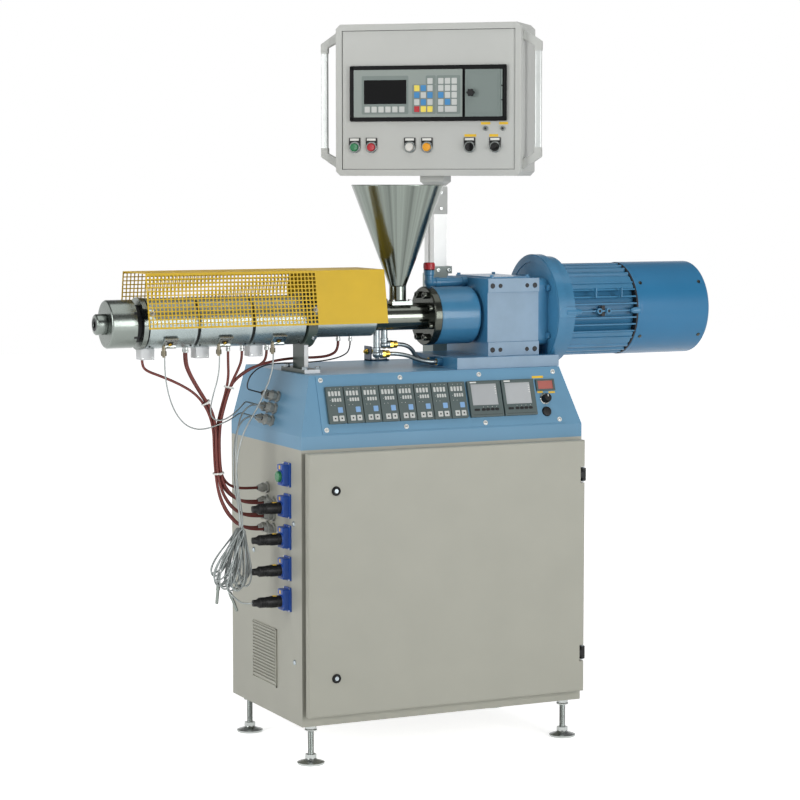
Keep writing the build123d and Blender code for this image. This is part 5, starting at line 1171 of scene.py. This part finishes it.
# operator unit: black bezel, grey foil with a screen and keys
unit = {"keyWide": 14.6, "keyHigh": 15.6, "foilTop": 7.6}
bezel, foil, fields, screen = (bmesh.new() for _ in range(4))
addPad(bezel, panelFace, (-217, 218), (146, 295), 2.4, 6.0, 0.0, 0.0)
for u, v in (((-217, -205.4), (146, 295)), ((211.6, 218), (146, 295)), ((-217, 218), (284, 295)),
        ((-217, 218), (146, 157.4)), ((97.2, 99.6), (150, 291))):
    addPad(bezel, panelFace, u, v, 8.0, min(5.0, 0.45 * min(u[1] - u[0], v[1] - v[0])), 0.0, 0.8)
addPad(foil, panelFace, (-205.6, 97.4), (157.2, 284.2), 5.6, 2.0, 2.0, 0.5)
for u, v in (((-183, -52), (165, 268)), ((-42, 24), (165, 244)), ((-4, 24), (244, 268)),
        ((26, 92), (165, 268))):
    addPad(fields, panelFace, u, v, 0.3, 4.0, unit["foilTop"] - 0.1, 0.1)
addPad(screen, panelFace, (-176.5, -57.8), (192.6, 256.7), 0.5, 0.8, unit["foilTop"], 0.1)
grey, blue, yellow, red = "keyGrey", "keyBlue", "keyYellow", "capRed"
keySets = {colour: bmesh.new() for colour in (grey, blue, yellow, red)}
keyRows = [(178, [(-167.3 + 19.4 * i, grey) for i in range(6)])]
keyRows += [(178.3, [(-28.6, red), (-10.3, yellow), (8.0, yellow), (38, grey)]),
    (197, [(-28.6, grey), (-10.3, blue), (8, grey), (38, grey), (56.5, blue), (75, grey)]),
    (215.6, [(-28.6, blue), (-10.3, grey), (8, blue), (38, blue), (56.5, grey), (75, grey)]),
    (234.2, [(-28.6, yellow), (-10.3, blue), (8, grey), (38, grey), (56.5, grey), (75, grey)]),
    (253, [(8, grey), (38, grey), (56.5, grey), (75, grey)])]
halfWide, halfHigh = unit["keyWide"] / 2, unit["keyHigh"] / 2
for v, row in keyRows:
    for u, colour in row:
        addPad(keySets[colour], panelFace, (u - halfWide, u + halfWide), (v - halfHigh, v + halfHigh), 0.9,
            1.6, 7.7, 0.2)
addPad(keySets[grey], panelFace, (49.2, 82.3), (170.5, 186.1), 0.9, 1.6, 7.7, 0.2)
finishPiece("unit_bezel", bezel, "blackGloss", "operator_unit", "panel")
finishPiece("unit_foil", foil, "foilGrey", body="panel")
finishPiece("unit_fields", fields, "foilDark", body="panel")
finishPiece("unit_screen", screen, "screenBlack", body="panel")
for colour in (grey, blue, yellow, red):
    finishPiece("unit_keys_" + colour, keySets[colour], colour, body="panel")

# flap with a raised inner plate and a lobed knob
bm = bmesh.new()
addPad(bm, panelFace, (104.6, 201.0), (157.6, 283.4), 4.0, 1.5, 3.0, 0.6)
addPad(bm, panelFace, (112.5, 195.0), (166, 275), 1.0, 1.0, 6.9, 0.4)
for v0, v1 in ((158, 200), (203, 238), (241, 283)):
    knuckle = seatAt(panelFace @ Vector((204.0, v0, 5.0)), panelRight, (0, 0, 1))
    addSleeve(bm, knuckle, 3.0, 1.9, 0, v1 - v0, 0.3, 20)
addPlate(bm, panelFace, (200, 202.5), (158, 283), 2.6, 3.4, 0.3)
finishPiece("flap_plate", bm, "foilDark", "panel_flap", "flap")
bm = bmesh.new()
knob = shifted(panelFace, 122.0, 221.0, 7.8)
lobes = [((9.6 + 1.3 * cos(radians(6 * t))) * cos(radians(t)),
    (9.6 + 1.3 * cos(radians(6 * t))) * sin(radians(t))) for t in range(0, 360, 6)]
addPrism(bm, knob, lobes, 4.0, 13.6, 1.0)
addTurned(bm, knob, [(0, -0.6), (6.5, -0.6), (6.0, 3.0), (5.2, 4.4), (0, 4.4)], 28)
finishPiece("flap_knob", bm, "blackMoulded", body="flap")

# push buttons and selectors: label holder, bright ring, cap
holders, labels, ringsBm = (bmesh.new() for _ in range(3))
buttonRow = 77.0
caps = {"green": (-205.0, "capGreen"), "red": (-157.5, "capRed"), "white": (-50.0, "capWhite"),
    "amber": (-2.0, "capAmber")}
for name, (u, colour) in caps.items():
    seat = shifted(panelFace, u, buttonRow)
    addSleeve(ringsBm, seat, 15.4, 11.5, 0.1, 4.6, 1.0, 40)
    cap = bmesh.new()
    addTurned(cap, seat, [(0, -7.8), (10.9, -7.8), (10.9, 8.4), (9.8, 9.8), (8.8, 9.4), (8.2, 9.0),
        (0, 9.1)], 40)
    finishPiece("button_cap_" + name, cap, colour, "push_button_" + name, name + "_button")
selectors = {"left": (116.0, 0.0), "right": (186.0, 114.0)}
for u, _ in [*caps.values(), *selectors.values()]:
    addPad(holders, panelFace, (u - 15.6, u + 15.6), (88, 102.5), 3.0, 1.0, 0.05, 0.5)
    addPlate(holders, panelFace, (u - 15.6, u - 13.6), (76, 90), 3.0, 0.05, 0.3)
    addPlate(holders, panelFace, (u + 13.6, u + 15.6), (76, 90), 3.0, 0.05, 0.3)
    addPlate(labels, panelFace, (u - 12.5, u + 12.5), (94.6, 100.8), 0.6, 3.0, 0.15)
for name, (u, turn) in selectors.items():
    seat = shifted(panelFace, u, buttonRow, 0.6, turn)
    ring, grip = bmesh.new(), bmesh.new()
    addSleeve(ring, seat, 15.0, 12.0, 0, 4.2, 0.9, 40)
    addDrum(grip, seat, 12.2, 0, 3.4, 0.4, 36)
    addPrism(grip, seat, [(-3.8, -11), (3.8, -11), (3.8, 9), (0, 12), (-3.8, 9)], 3.0, 17.0, 1.0)
    finishPiece("selector_ring_" + name, ring, "ringChrome", body=name + "_selector")
    finishPiece("selector_grip_" + name, grip, "blackMoulded", "selector_" + name, name + "_selector")
for u in (160.0, 207.0):
    seat = shifted(panelFace, u, 126.0)
    addSleeve(ringsBm, seat, 6.4, 3.4, 0, 4.4, 0.6, 28)
    addDrum(holders, seat, 3.6, 0, 4.2, 0.2, 24)
finishPiece("label_holders", holders, "blackMoulded", body="panel")
finishPiece("bare_labels", labels, "nylonWhite", body="panel")
finishPiece("button_rings", ringsBm, "ringChrome", body="panel")
bm = bmesh.new()
addPlates(bm, panelFace, ((101.7, 134.5, 104, 111), (170, 194.6, 104, 111), (147, 172.5, 136.3, 143),
    (197, 221, 136.3, 143)), 0.6, 0.05, 0.2)
finishPiece("panel_strips", bm, "stripYellow", body="panel")

print("stage 11: ties and spare leads")
# cable ties round the heater cables
bm = bmesh.new()
for place, along, radius in (((-182, 185, 914), (19, 0, -30), 12.6),
        ((-119, 185, 950), (-10, 0, -38), 13.6), ((-149, 185.5, 733), (4, 0, -42), 15.4)):
    seat = seatAt(place, (0, 1, 0), along)
    addSleeve(bm, seat, radius, radius - 1.2, -2.2, 2.2, 0.4, 32)
    addBlock(bm, shifted(seat, -radius - 1.0, 0, 0), (4.5, 6, 5.5), 0.8)
finishPiece("cable_ties", bm, "nylonWhite")

# the two probes at the ends of the spare leads
probes = []
for i, (place, along) in enumerate((((-166, 146, 460), (-0.1, 0, -1)), ((-136, 146, 434), (0.4, 0, -1)))):
    bm = bmesh.new()
    seat = seatAt(place, (0, 1, 0), along)
    addTurned(bm, seat, [(0, 0), (2.4, 0), (4.4, 1.6), (5, 3), (5, 18), (4, 20), (4, 51), (3, 54), (0, 54)],
        28)
    probes.append(finishPiece(f"sensor_probe_{i + 1}", bm, "turnedSteel", "sensor_probes"))
tail = [(-118, 129, 556), (-136, 127, 502), (-150, 125, 462), (-154, 118, 444), (-147, 102, 433),
    (-136, 91, 421), (-122, 86, 411.8), (plugTip, 86, 411.8)]
frontLoops = [(-180, 470, 18, 128), (-158, 446, 22, 130), (-122, 438, 20, 132), (-96, 448, 18, 134),
    (-170, 456, 14, 136)]
rearLoops = [(-178, 478, 17, 152), (-152, 448, 22, 154), (-116, 438, 20, 156), (-92, 462, 16, 158),
    (-134, 446, 13, 160), (-104, 446, 13, 162)]
middleLoops = [(-170, 454, 22, 140), (-136, 438, 18, 142), (-108, 444, 20, 144), (-93, 466, 17, 146),
    (-182, 486, 14, 148), (-142, 452, 12, 150)]
freeEnds = [
    [(-122, 152, 556), (-146, 150, 508), (-163, 148, 478), (-166, 146, 466), (-166, 146, 459)],
    [(-114, 147, 550), (-128, 147, 496), (-138.4, 147, 452), (-138.4, 146, 440), (-136, 146, 433)],
]
spareLeads = [(frontLoops, tail, 2320, "object", []), (rearLoops, freeEnds[0], 2355, "connector",
    probes[:1]), (middleLoops, freeEnds[1], 2390, "connector", probes[1:])]
for i, (start, (loops, last, length, farEnd, ends)) in enumerate(zip(leadToHank, spareLeads)):
    makeCord(f"sensor_lead_{i + 3}", start + hankLoops(loops) + last, 4.2, "leadGrey", length,
        ["sensor_leads", "lead_hank"], farEnd, lay="coiled", ends=ends)

print("stage 12: finish")
